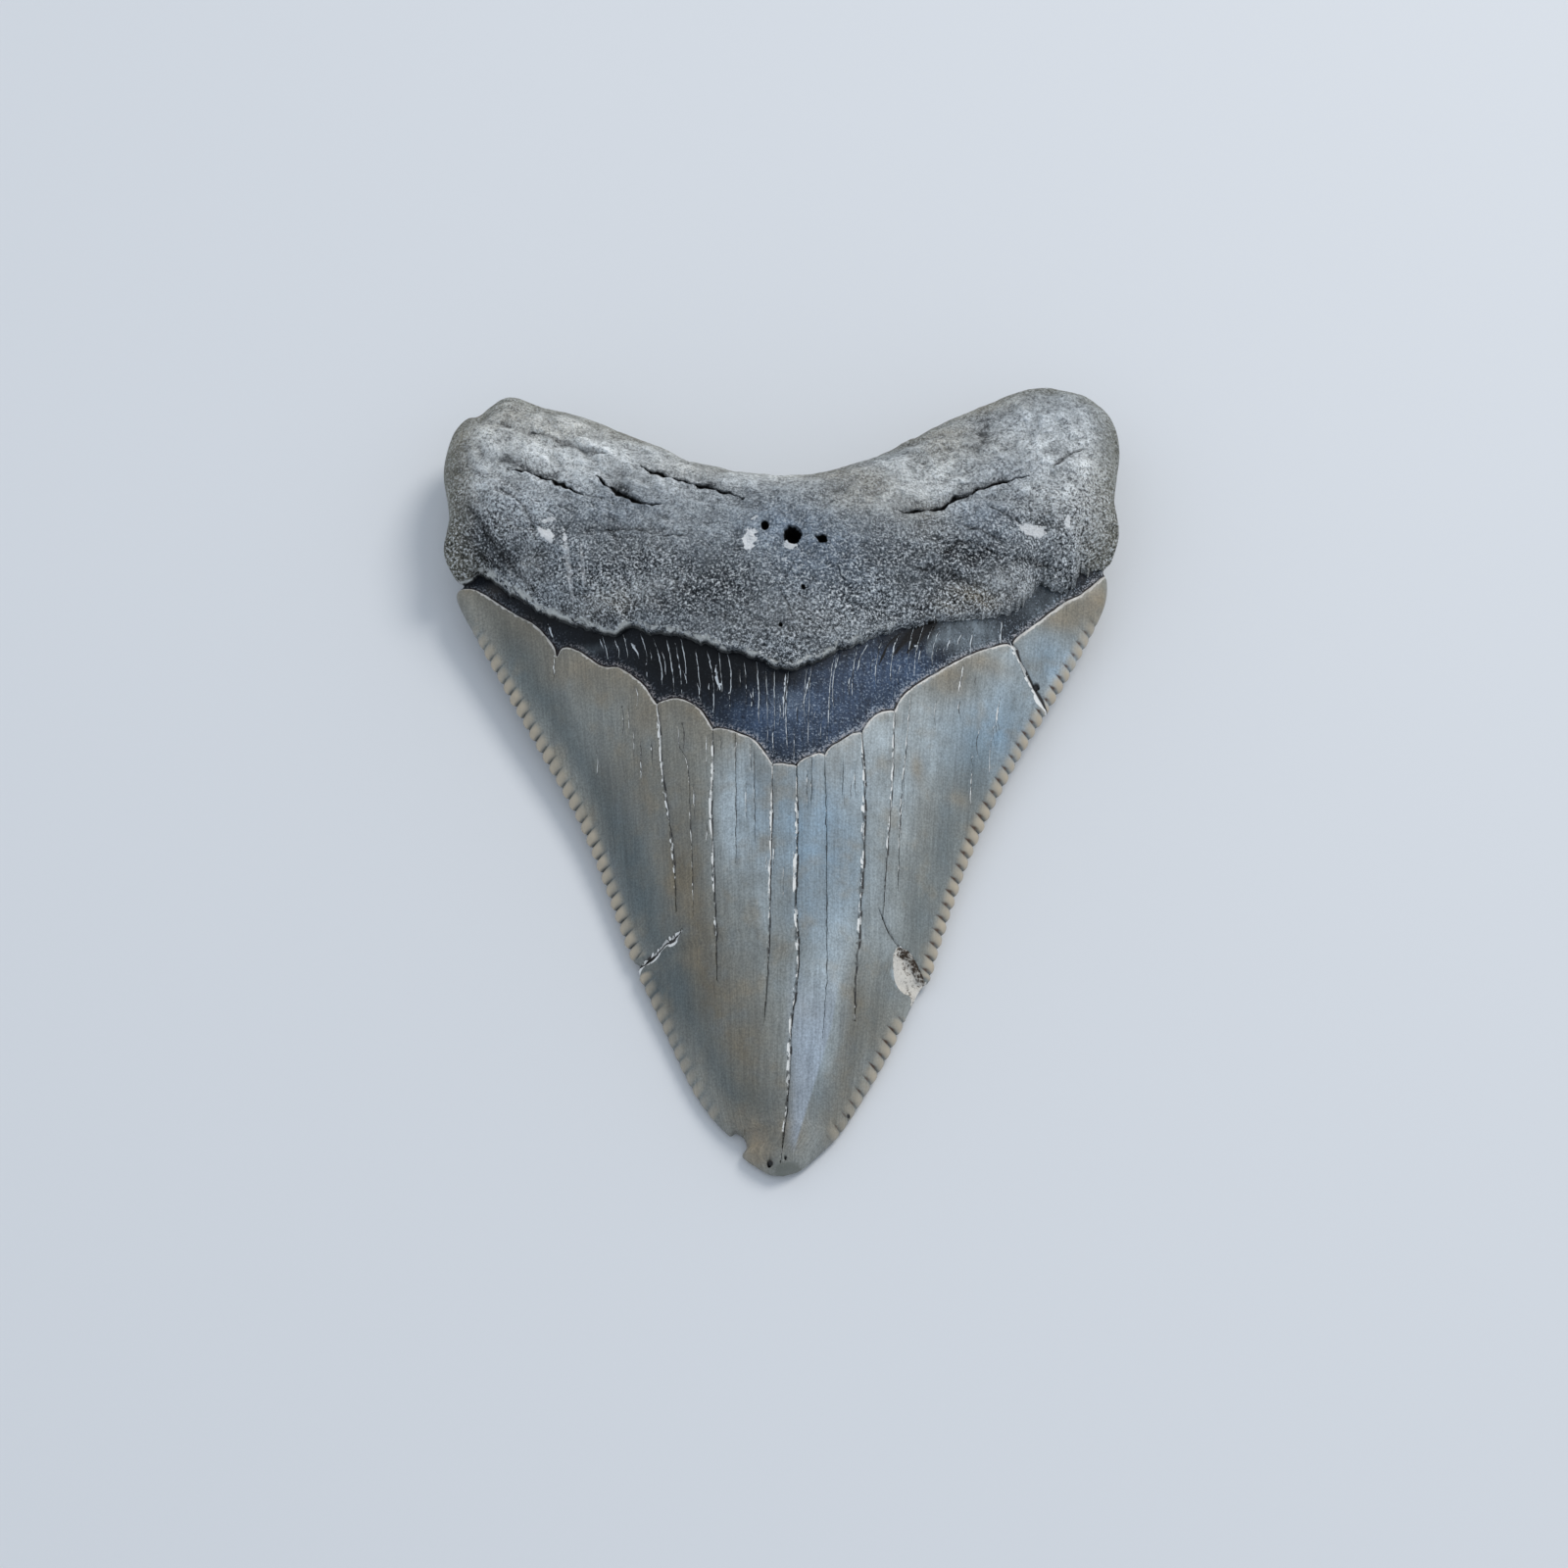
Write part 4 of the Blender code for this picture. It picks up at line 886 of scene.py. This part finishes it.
def tooth_mesh(form, finishes):
    """The closed mesh of both faces, with what the serrations and the finishes need stored at each point."""
    outline, normal = plan_outline()
    top_plan, top_faces = lingual_plan(form, outline, normal)
    low_plan, low_faces = labial_plan(form, outline, normal)
    count = len(outline)
    top, top_facts = form.lingual(top_plan)
    low, low_facts = form.labial_face(low_plan)
    top[:count] = form.outline_height(outline)
    plan = np.vstack([top_plan, low_plan[count:]])
    places = np.c_[plan, np.r_[top, low[count:]]] - (*BOX_MIDDLE, 0)
    facts = {name: np.r_[top_facts[name], low_facts[name][count:]] for name in top_facts}
    under = np.r_[np.zeros(len(top_plan)), np.ones(len(low_plan) - count)]
    facts["run"], facts["bite"], facts["outward"] = along_edges(plan, form, facts["depth"])
    facts["face"] = 1 - 2 * under
    facts["growth"] = form.growth(plan)
    facts["lobe"] = lobe_height(plan)
    facts["under"] = under
    facts["chalk"] = np.where(under > 0, -1, chalk_at(plan))
    facts["white"] = chalk_white(plan)
    band = (facts["to_ledge"] < 0) & (facts["to_enamel"] > 0) & (under < 1)
    for tint in TINTS:
        facts[tint] = np.select([facts["to_ledge"] > 0, band, facts["chip"] > 0], [
            soft_spots(plan, spots[tint]) for spots in (ROOT_TINTS, BAND_TINTS, CHIP_TINTS)],
            soft_spots(plan, BLADE_TINTS[tint]))
    facts["tip_wear"] = soft_spots(plan, TIP_WEAR)
    facts["wedge"] = pale_wedge(plan)
    low_faces = np.where(low_faces >= count, low_faces + len(top_plan) - count, low_faces)
    faces = np.vstack([counterclockwise(top_faces, plan), counterclockwise(low_faces, plan)[:, ::-1]])
    data = bpy.data.meshes.new("tooth_surface")
    data.from_pydata(places * MM, [], faces.tolist())
    for finish in finishes:
        data.materials.append(finish)
    for name, values in facts.items():
        kind, field = ("FLOAT_VECTOR", "vector") if values.ndim == 2 else ("FLOAT", "value")
        data.attributes.new(name, kind, "POINT").data.foreach_set(field, values.astype(np.float32).ravel())
    finish = data.attributes.new("finish", "INT", "FACE")
    finish.data.foreach_set("value", finish_of(faces, facts, len(top_faces)).astype(np.int32))
    data.shade_smooth()
    return data


def counterclockwise(faces, plan):
    a, b, c = (plan[faces[:, k]] for k in range(3))
    area = (b[:, 0] - a[:, 0]) * (c[:, 1] - a[:, 1]) - (b[:, 1] - a[:, 1]) * (c[:, 0] - a[:, 0])
    return np.where(area[:, None] < 0, faces[:, ::-1], faces)


def finish_of(faces, facts, lingual_count):
    """0 for enamel, 1 for the bourlette, 2 for the root and 3 for the chip, at each face."""
    to_ledge, to_enamel, chip = (facts[name][faces].mean(axis=1)
                                 for name in ("to_ledge", "to_enamel", "chip"))
    bourlette = (to_enamel > 0) & (np.arange(len(faces)) < lingual_count)
    finish = np.where(to_ledge > 0, 2, np.where(bourlette, 1, 0))
    return np.where((chip > 0.05) & (finish == 0), 3, finish)


def add(tree, kind, inputs=(), operation=None, **settings):
    """A new node with its settings. Its inputs, by name or in order, take values or the nodes that feed
    them."""
    node = tree.nodes.new(kind)
    if operation:
        node.operation = operation
    for name, value in settings.items():
        setattr(node, name, value)
    for key, value in inputs.items() if isinstance(inputs, dict) else enumerate(inputs):
        socket = node.inputs[key] if isinstance(key, int) else next(
            s for s in node.inputs if s.enabled and s.name == key)
        if isinstance(value, bpy.types.Node):
            value = next(s for s in value.outputs if s.enabled)
        if isinstance(value, bpy.types.NodeSocket):
            tree.links.new(value, socket)
        else:
            socket.default_value = value
    return node


def serration_tree(finishes):
    """A bead for each pitch along the cutting edges, with a wedge of a valley between each two."""
    tree = bpy.data.node_groups.new("serrations", "GeometryNodeTree")
    tree.interface.new_socket("Geometry", in_out="INPUT", socket_type="NodeSocketGeometry")
    for name, kind, value in SERRATION_INPUTS:
        tree.interface.new_socket(name, in_out="INPUT", socket_type=kind).default_value = value
    tree.interface.new_socket("Geometry", in_out="OUTPUT", socket_type="NodeSocketGeometry")
    given = add(tree, "NodeGroupInput").outputs
    fact = {name: add(tree, "GeometryNodeInputNamedAttribute", {"Name": name}, data_type="FLOAT")
            for name in ("run", "bite", "depth", "face")}
    outward = add(tree, "GeometryNodeInputNamedAttribute", {"Name": "outward"}, data_type="FLOAT_VECTOR")
    count = add(tree, MATH, (fact["run"], given["Pitch"]), "DIVIDE")
    number = add(tree, MATH, (count,), "FLOOR")
    number = add(tree, "FunctionNodeFloatToInt", {"Float": number})
    low = add(tree, MATH, (1.0, given["Variation"]), "SUBTRACT")
    size = add(tree, "FunctionNodeRandomValue", {"Min": low, "Max": 1.0, "ID": number, "Seed": given["Seed"]})
    turn = add(tree, MATH, (count, math.pi), "MULTIPLY")
    wave = add(tree, MATH, (turn,), "SINE")
    wave = add(tree, MATH, (wave,), "ABSOLUTE")
    inward = add(tree, MATH, (fact["depth"], given["Reach"]), "DIVIDE", use_clamp=True)
    near = add(tree, MATH, (1.0, inward), "SUBTRACT")
    near = add(tree, MATH, (near, fact["bite"]), "MULTIPLY")
    strength = add(tree, MATH, (near, size), "MULTIPLY")
    root = add(tree, MATH, (wave, BEAD_ROUND), "POWER")
    out = add(tree, MATH, (root, BEAD_MEAN), "SUBTRACT")
    for factor in (strength, near, given["Height"]):
        out = add(tree, MATH, (out, factor), "MULTIPLY")
    narrow = add(tree, RANGE, (inward, 0, 1, *CROWN_ROUND))
    crown = add(tree, MATH, (wave, narrow), "POWER")
    lift = add(tree, MATH, (crown, CROWN_MEAN), "SUBTRACT")
    inset = add(tree, RANGE, (fact["depth"], 0, RIPPLE_START))
    for factor in (strength, given["Ripple"], fact["face"], inset):
        lift = add(tree, MATH, (lift, factor), "MULTIPLY")
    lift = add(tree, "ShaderNodeCombineXYZ", {"Z": lift})
    out = add(tree, VECTOR, {0: outward, "Scale": out}, "SCALE")
    move = add(tree, VECTOR, (out, lift), "ADD")
    move = add(tree, VECTOR, {0: move, "Scale": MM}, "SCALE")
    made = add(tree, "GeometryNodeSetPosition", {"Geometry": given["Geometry"], "Offset": move})
    valley = add(tree, MATH, (1.0, crown), "SUBTRACT")
    for name, shape in (("valley", valley), ("bead", crown)):
        shape = add(tree, MATH, (shape, strength), "MULTIPLY")
        made = add(tree, "GeometryNodeStoreNamedAttribute", {"Geometry": made, "Name": name, "Value": shape})
    made = add(tree, "GeometryNodeRealizeInstances", {"Geometry": made})
    finish = add(tree, "GeometryNodeInputNamedAttribute", {"Name": "finish"}, data_type="INT")
    for k, material in enumerate(finishes):
        chosen = add(tree, "FunctionNodeCompare", {"A": finish, "B": k}, data_type="INT", operation="EQUAL")
        made = add(tree, "GeometryNodeSetMaterial",
                   {"Geometry": made, "Selection": chosen, "Material": material})
    add(tree, "NodeGroupOutput", {"Geometry": made})
    return tree


def put(name, data):
    """A new object with this data in the scene."""
    made = bpy.data.objects.new(name, data)
    bpy.context.scene.collection.objects.link(made)
    return made


def tooth_surface(box):
    """The whole tooth as one closed surface in four finishes, kept inside the box that the solid fills."""
    finishes = [fossil_enamel(), bourlette_dentine(), root_dentine(), broken_enamel()]
    piece = put("tooth_surface", tooth_mesh(ToothForm(), finishes))
    modifier = piece.modifiers.new("serrations", "NODES")
    modifier.node_group = serration_tree(finishes)
    for item in modifier.node_group.interface.items_tree:
        for name, _, value in SERRATION_INPUTS:
            if item.in_out == "INPUT" and item.name == name:
                modifier[item.identifier] = value
    made = bpy.data.meshes.new_from_object(piece.evaluated_get(bpy.context.evaluated_depsgraph_get()))
    piece.modifiers.remove(modifier)
    places = np.empty(3 * len(made.vertices), np.float32)
    made.vertices.foreach_get("co", places)
    made.vertices.foreach_set("co", np.clip(places.reshape(-1, 3), *box).ravel())
    piece.data = made
    made.set_sharp_from_angle(angle=math.radians(SHARP_ANGLE))
    return piece


class Finish:
    """A finish in the making: its tree, places on it in millimetres, the facts stored at each point, its
    noise patterns, each as (name, size in millimetres, detail, roughness), and the colour laid so far. Its
    surface is given as its roughness, its index of refraction and how strongly it reflects."""

    def __init__(self, name, ground, surface, facts, patterns):
        self.material = bpy.data.materials.new(name)
        self.material.use_nodes = True
        self.tree = self.material.node_tree
        self.shader = self.tree.nodes["Principled BSDF"]
        for setting, value in zip(("Roughness", "IOR", "Specular IOR Level"), surface):
            self.shader.inputs[setting].default_value = value
        self.colour = linear(ground)
        place = add(self.tree, "ShaderNodeTexCoord").outputs["Object"]
        self.place = add(self.tree, VECTOR, {0: place, "Scale": 1 / MM}, "SCALE")
        self.fact = {name: add(self.tree, "ShaderNodeAttribute", attribute_name=name).outputs["Fac"]
                     for name in facts}
        self.pattern = {name: add(self.tree, NOISE, {
            "Vector": self.place, "Scale": 1 / size, "Detail": detail, "Roughness": rough})
            for name, size, detail, rough in patterns}

    def lay(self, code, value, start, end, most=1.0, within=1.0):
        """Lays another colour where the value goes from start to end, up to this share."""
        share = add(self.tree, RANGE, (value, start, end, 0, most))
        share = add(self.tree, MATH, (share, within), "MULTIPLY", use_clamp=True)
        mixed = add(self.tree, "ShaderNodeMix", {"Factor": share, "A": self.colour, "B": linear(code)},
                    data_type="RGBA")
        self.colour = mixed.outputs[2]

    def stain(self, tints, cloud, least, most):
        """Lays the soft tints that are stored at each point, broken up by a cloudy pattern."""
        broken = add(self.tree, RANGE, (cloud, 0.3, 0.7, least, most))
        for name, code in tints:
            self.lay(code, self.fact[name], 0, 1, 1.0, broken)

    def shade(self, value, low, high, start=0.3, end=0.7):
        """Makes the colour darker or lighter, from low to high, where the value goes from start to end."""
        gain = add(self.tree, RANGE, (value, start, end, low, high))
        self.colour = add(self.tree, VECTOR, {0: self.colour, "Scale": gain}, "SCALE")

    def mark_cracks(self, dark, white):
        """Draws each crack: a dark gap painted as the shade inside it, and beside it or on both sides the
        white mineral that fills it.
        """
        tree, close, across, filled = self.tree, *(self.fact[name] for name in ("crack", "across", "filled"))
        flat = add(tree, VECTOR, (self.place, (2.0, 0.7, 0.5)), "MULTIPLY")
        patches = add(tree, NOISE, {"Vector": flat, "Scale": 1.0, "Detail": 4.0, "Roughness": 0.75})
        patches = add(tree, RANGE, (patches, 0.3, 0.7))
        full = add(tree, MATH, (filled, patches), "SUBTRACT")
        full = add(tree, RANGE, (full, -0.06, 0.06))
        lined = add(tree, RANGE, (filled, 1.1, 1.2))
        away = add(tree, MATH, (across,), "ABSOLUTE")
        away = add(tree, RANGE, (away, 0.25, 0.4))
        both = add(tree, MATH, (lined, away), "MULTIPLY")
        below = add(tree, RANGE, (across, -0.15, 0.1))
        below = add(tree, MATH, (below, lined), "SUBTRACT")
        mineral = add(tree, MATH, (below, both), "MAXIMUM")
        mineral = add(tree, MATH, (full, mineral), "MULTIPLY", use_clamp=True)
        gap = add(tree, RANGE, (across, 0.15, -0.1))
        empty = add(tree, RANGE, (filled, 0.08, 0.02))
        gap = add(tree, MATH, (gap, empty), "MAXIMUM")
        gap = add(tree, MATH, (gap, lined), "MAXIMUM")
        # Painted shade inside the open gap.
        self.lay(dark, close, 0.1, 0.45, 1.0, gap)
        self.lay(white, close, 0.03, 0.15, 1.0, mineral)

    def done(self, height, distance, strength):
        """Gives the shader its colour and a bump of this many millimetres."""
        self.tree.links.new(self.colour, self.shader.inputs["Base Color"])
        bump = add(self.tree, "ShaderNodeBump",
                   {"Height": height, "Distance": distance * MM, "Strength": strength})
        self.tree.links.new(bump.outputs[0], self.shader.inputs["Normal"])
        return self.material


def fossil_enamel():
    """Satin enamel: grey, stained brown by minerals, bluer where it is thin, with fine streaks lengthways;
    its pale blue patches down the middle are partly painted sky reflection.
    """
    look = Finish("fossil_enamel", "#828580", (0.42, 1.62, 0.4),
                  (*CRACK_FACTS, *TINTS, "growth", "depth", "bead", "valley", "to_enamel", "under",
                   "tip_wear", "wedge"),
                  (("cloud", 3.2, 4.0, 0.6), ("hue", 2.3, 3.0, 0.5), ("grain", 0.16, 2.0, 0.6),
                   ("crumbs", 0.4, 3.0, 0.5), ("patches", 1.8, 2.0, 0.5)))
    tree, fact, pattern = look.tree, look.fact, look.pattern
    parts = add(tree, "ShaderNodeSeparateXYZ", (look.place,))
    slow = add(tree, MATH, (parts.outputs["Y"], 1 / STREAK_LENGTH), "MULTIPLY")
    streak = add(tree, "ShaderNodeCombineXYZ", {"X": fact["growth"], "Y": slow})
    broad, fine = (add(tree, NOISE, {"Vector": streak, "Scale": 1 / size, "Detail": 2.0, "Roughness": 0.6})
                   for size in (0.9, 0.15))
    left = add(tree, RANGE, (fact["growth"], 3.0, -5.0, 0.3, 1.0))
    # The pale and cool tints are partly painted sky reflection.
    look.stain((("pale", "#a8b3b7"), ("cool", "#7b95a8"), ("warm", "#6f6756"), ("dark", "#4c5759"),
                ("tan", "#94866f")), pattern["cloud"], 0.5, 1.4)
    look.lay("#8b7d64", pattern["hue"], 0.55, 0.72, 0.35)
    look.lay("#788c99", pattern["hue"], 0.45, 0.28, 0.16)
    inner = add(tree, RANGE, (fact["depth"], 3.8, 2.2))
    inner = add(tree, MATH, (inner, left), "MULTIPLY")
    look.lay("#4e5a5c", fact["depth"], 0.9, 1.8, 0.6, inner)
    look.lay("#7c6c50", fact["to_enamel"], -3.0, -0.4, 0.4, left)
    # Partly painted sheen: the pale wedge above the tip.
    look.lay("#a1acb8", fact["wedge"], 0.0, 1.0, 0.7)
    for value, low, high in ((broad, 0.9, 1.1), (fine, 0.84, 1.16), (pattern["cloud"], 0.86, 1.14),
                             (pattern["grain"], 0.76, 1.24)):
        look.shade(value, low, high)
    right = add(tree, RANGE, (fact["growth"], 0.0, 5.0))
    rounded = add(tree, RANGE, (fact["depth"], 1.0, 0.55))
    look.lay("#b8ab95", fact["bead"], 0.15, 0.65, 1.0, rounded)
    # Painted shade in the valleys between the serration beads.
    look.lay("#434746", fact["valley"], 0.18, 0.6, 0.85)
    inner_end = add(tree, RANGE, (fact["depth"], 0.15, 0.4))
    inner_end = add(tree, MATH, (right, inner_end), "MULTIPLY")
    look.lay("#4a311a", fact["valley"], 0.12, 0.28, 0.95, inner_end)
    # Painted highlight: a thin, broken white line along the enamel's edge below the bourlette.
    above = add(tree, RANGE, (pattern["patches"], 0.35, 0.6, 0.35, 0.9))
    above = add(tree, MATH, (above, fact["under"]), "SUBTRACT", use_clamp=True)
    ragged_by = add(tree, RANGE, (pattern["crumbs"], 0.35, 0.6, 0, 0.12))
    shoulder = add(tree, RANGE, (parts.outputs["X"], 17.0, 19.0, 0.04, 0.12))
    rim = add(tree, MATH, (fact["to_enamel"], ragged_by), "ADD")
    rim = add(tree, MATH, (rim, shoulder), "ADD")
    look.lay("#d3cfc8", rim, -0.03, 0.03, 1.0, above)
    worn_and_crease_shade = add(tree, MATH, (pattern["crumbs"], 0.6, fact["tip_wear"]), "MULTIPLY_ADD")
    look.lay("#676a61", worn_and_crease_shade, 0.6, 0.85, 0.8)
    look.mark_cracks("#1e1b18", "#ebebe7")
    # Painted shade: the holes near black inside.
    look.lay("#0d0c0b", fact["hole"], 0.0, 1.0)
    return look.done(fine, distance=0.03, strength=0.7)


def bourlette_dentine():
    """The dark band of bare dentine under the root: blue-black, satin, with a dusting of pale grains, and
    painted shadow under the root's ledge and in the crevice above the enamel.
    """
    look = Finish("bourlette_dentine", "#1a1f26", (0.5, 1.55, 0.16),
                  (*CRACK_FACTS, "pale", "cool", "warm", "dark", "to_enamel", "to_ledge"),
                  (("grain", 0.16, 2.0, 0.6), ("cloud", 1.4, 4.0, 0.65)))
    tree, fact, pattern = look.tree, look.fact, look.pattern
    flat = add(tree, VECTOR, (look.place, (4.0, 0.5, 0.5)), "MULTIPLY")
    streaks = add(tree, NOISE, {"Vector": flat, "Scale": 1.0, "Detail": 2.0})
    look.stain((("cool", "#3d4e66"), ("pale", "#7b858b"), ("warm", "#4c4640")), pattern["cloud"], 0.6, 1.4)
    near_rim = add(tree, RANGE, (fact["to_enamel"], 0.8, 0.2, 0, 0.16))
    dust = add(tree, MATH, (pattern["grain"], near_rim), "ADD")
    blue = add(tree, MATH, (fact["cool"], 0.05), "MULTIPLY")
    dust = add(tree, MATH, (dust, blue), "ADD")
    across = add(tree, "ShaderNodeSeparateXYZ", (look.place,))
    dusty = add(tree, RANGE, (across, -6.0, 2.0, 0.35))
    look.lay("#9aa5b0", dust, 0.6, 0.74, 0.75, dusty)
    look.lay("#0b0e12", pattern["grain"], 0.45, 0.32, 0.6)
    look.shade(streaks, 0.75, 1.25)
    # Painted shadow under the root's ledge: black in the dark spots and a dark strip along the ledge, left of
    # the middle.
    look.lay("#06080a", fact["dark"], 0.0, 1.0, 0.85)
    shaded = add(tree, RANGE, (across, 7.0, 1.0, 0.1))
    look.lay("#0a0c0f", fact["to_ledge"], -0.8, -0.1, 0.7, shaded)
    crumbs = add(tree, RANGE, (fact["to_enamel"], 0.5, 0.25))
    middle = add(tree, RANGE, (across, -17.5, -14.0, 0.2))
    crumbs = add(tree, MATH, (crumbs, middle), "MULTIPLY")
    look.lay("#a39b99", pattern["grain"], 0.5, 0.6, 0.65, crumbs)
    # Painted shade in the crevice just above the enamel's edge, broken in places.
    open_gap = add(tree, RANGE, (pattern["cloud"], 0.4, 0.52, 0.3))
    look.lay("#1b1412", fact["to_enamel"], 0.2, 0.12, 0.95, open_gap)
    look.mark_cracks("#07080a", "#c6ccd0")
    return look.done(pattern["grain"], distance=0.05, strength=0.7)


def root_dentine():
    """Stony root dentine: a rough salt-and-pepper grain of dark pores and pale grains, stained tan in places,
    with painted shade in its creases, hollows and pits and painted light on its upper back."""
    # The grain is drawn slightly coarser than the real one, so that it shows from a step away.
    look = Finish("root_dentine", "#8e959a", (0.85, 1.5, 0.15),
                  (*CRACK_FACTS, *TINTS, "to_ledge", "relief", "chalk", "white", "lobe", "depth"),
                  (("grain", 0.2, 3.0, 0.75), ("pitted", 0.36, 2.0, 0.6), ("coarse", 0.9, 3.0, 0.6),
                   ("cloud", 3.5, 5.0, 0.6)))
    tree, fact, pattern = look.tree, look.fact, look.pattern
    across = add(tree, "ShaderNodeSeparateXYZ", (look.place,))
    long = add(tree, MATH, (across, 1 / FOLD_LENGTH), "MULTIPLY")
    wide = add(tree, MATH, (fact["lobe"], 1 / FOLD_WIDTH), "MULTIPLY")
    fibre = add(tree, "ShaderNodeCombineXYZ", {"X": long, "Y": wide, "Z": FOLD_SEED})
    fibre = add(tree, NOISE, {"Vector": fibre, "Scale": 2.2, "Detail": 5.0, "Roughness": 0.75})
    # The pale tint on the root's upper back is partly painted light.
    look.stain((("pale", "#e2e5e4"), ("cool", "#708296"), ("dark", "#3d4246"), ("warm", "#a39c8c"),
                ("tan", "#a39a88")), pattern["cloud"], 0.65, 1.25)
    # Random tone, and painted shade and light: the fold, pit and lump patterns also shape the bump below.
    for value, low, high in ((pattern["coarse"], 0.86, 1.14), (pattern["cloud"], 0.88, 1.12),
                             (fibre, 0.72, 1.26), (pattern["pitted"], 0.78, 1.22)):
        look.shade(value, low, high)
    # Painted light and shade, partly the root's own tone: darker on the front slope by the ledge, paler up
    # the back towards the lamp.
    look.shade(fact["to_ledge"], 0.83, 1.18, 2.0, 8.0)
    # Painted shade and light: darker in the relief's hollows and creases, paler on its rises, near black
    # where deepest.
    look.shade(fact["relief"], 0.66, 1.22, 0.1, 0.9)
    look.lay("#222528", fact["relief"], 0.15, 0.0, 0.7)
    # Painted shade: thin dark lines along the creases of the fold pattern, in patches.
    crease = add(tree, MATH, (fibre, 0.5), "SUBTRACT")
    crease = add(tree, MATH, (crease,), "ABSOLUTE")
    worn_and_crease_shade = add(tree, RANGE, (pattern["coarse"], 0.55, 0.4))
    look.lay("#2c3136", crease, 0.025, 0.005, 0.75, worn_and_crease_shade)
    look.lay("#8a8672", fact["depth"], 2.6, 0.4, 0.6)
    patchy = add(tree, RANGE, (pattern["cloud"], 0.35, 0.6, 0.6, 1.0))
    strong = add(tree, RANGE, (fact["lobe"], 8.5, 14.0, 1.0, 0.5))
    strong = add(tree, MATH, (strong, patchy), "MULTIPLY")
    look.lay("#131518", pattern["grain"], 0.5, 0.41, 0.95, strong)
    look.lay("#edf1f3", pattern["grain"], 0.53, 0.62, 1.0, strong)
    # Painted highlight on the ledge's crest, broken in places, and painted shade on its face just below,
    # mostly on the left.
    sharp = add(tree, RANGE, (across, 9.0, 3.0, 0.1))
    crest = add(tree, RANGE, (pattern["coarse"], 0.44, 0.56))
    crest = add(tree, MATH, (crest, sharp), "MULTIPLY")
    look.lay("#d3d5d1", fact["to_ledge"], 0.38, 0.16, 1.0, crest)
    look.lay("#15181b", fact["to_ledge"], 0.08, 0.03, 0.9, sharp)
    chalk = add(tree, RANGE, (pattern["pitted"], 0.3, 0.7, -0.3, 0.3))
    chalk = add(tree, MATH, (chalk, fact["chalk"]), "ADD")
    look.lay("#f6f7f7", chalk, 0.0, 0.1, 1.0, fact["white"])
    look.mark_cracks("#121110", "#c4c5c1")
    # Painted shade: the pits and holes near black inside.
    look.lay("#050505", fact["hole"], 0.05, 0.3)
    relief = add(tree, MATH, (pattern["grain"], 0.35, pattern["pitted"]), "MULTIPLY_ADD")
    for value, share in ((pattern["coarse"], 1.8), (fibre, 2.4)):
        relief = add(tree, MATH, (value, share, relief), "MULTIPLY_ADD")
    return look.done(relief, distance=0.28, strength=1.0)


def broken_enamel():
    """The fresh break of the chip: white and dull, with dark grains and a brown stain on its far wall."""
    look = Finish("broken_enamel", "#4c4035", (0.8, 1.55, 0.3), ("dark", "pale"),
                  (("grain", 0.25, 3.0, 0.7),))
    soiled = add(look.tree, MATH, (look.fact["dark"], -0.3, look.pattern["grain"]), "MULTIPLY_ADD")
    share = add(look.tree, MATH, (look.fact["pale"], 0.14, soiled), "MULTIPLY_ADD")
    look.lay("#ddd8ce", share, 0.32, 0.5)
    return look.done(look.pattern["grain"], distance=0.12, strength=0.8)


def studio():
    """The floor, the soft light and the camera."""
    floor = bpy.data.meshes.new("floor")
    half = FLOOR_HALF * MM
    corners = [(-half, -half, 0), (half, -half, 0), (half, half, 0), (-half, half, 0)]
    floor.from_pydata(corners, [], [(0, 1, 2, 3)])
    pale = bpy.data.materials.new("pale_floor")
    pale.use_nodes = True
    pale.node_tree.nodes["Principled BSDF"].inputs["Base Color"].default_value = linear(FLOOR_COLOUR)
    pale.node_tree.nodes["Principled BSDF"].inputs["Roughness"].default_value = FLOOR_ROUGHNESS
    floor.materials.append(pale)
    floor = put("floor", floor)
    world = bpy.data.worlds.new("soft_sky")
    world.use_nodes = True
    sky = world.node_tree.nodes["Background"]
    sky.inputs["Color"].default_value = linear(SKY_COLOUR)
    sky.inputs["Strength"].default_value = SKY_STRENGTH
    bpy.context.scene.world = world
    for name, place, size, power, colour in LAMPS:
        lamp = bpy.data.lights.new(name, "AREA")
        lamp.shape = "DISK"
        lamp.size = size * MM
        lamp.energy = power
        lamp.color = linear(colour)[:3]
        lamp = put(name, lamp)
        lamp.location = Vector(place) * MM
        lamp.rotation_euler = (Vector(CAMERA_TARGET) - Vector(place)).to_track_quat("-Z", "Y").to_euler()
    camera = bpy.data.cameras.new("camera")
    camera.lens = CAMERA_LENS
    camera.sensor_width = CAMERA_SENSOR
    camera.clip_start = CAMERA_NEAR
    camera = put("camera", camera)
    tilt = math.radians(CAMERA_ELEVATION)
    back = Vector((0, -math.cos(tilt), math.sin(tilt)))
    camera.location = (Vector(CAMERA_TARGET) + CAMERA_DISTANCE * back) * MM
    camera.rotation_euler = (-back).to_track_quat("-Z", "Y").to_euler()
    bpy.context.scene.camera = camera
    bpy.context.scene.view_settings.view_transform = "Standard"


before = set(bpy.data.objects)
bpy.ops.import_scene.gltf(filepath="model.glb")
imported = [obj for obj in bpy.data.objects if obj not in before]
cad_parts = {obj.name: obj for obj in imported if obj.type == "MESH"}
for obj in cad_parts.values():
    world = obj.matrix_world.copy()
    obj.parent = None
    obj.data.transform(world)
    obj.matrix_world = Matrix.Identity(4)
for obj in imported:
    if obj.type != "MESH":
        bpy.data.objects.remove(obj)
cad_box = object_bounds()
tooth = tooth_surface(cad_box)
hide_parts("tooth")
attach(tooth, "root")
studio()
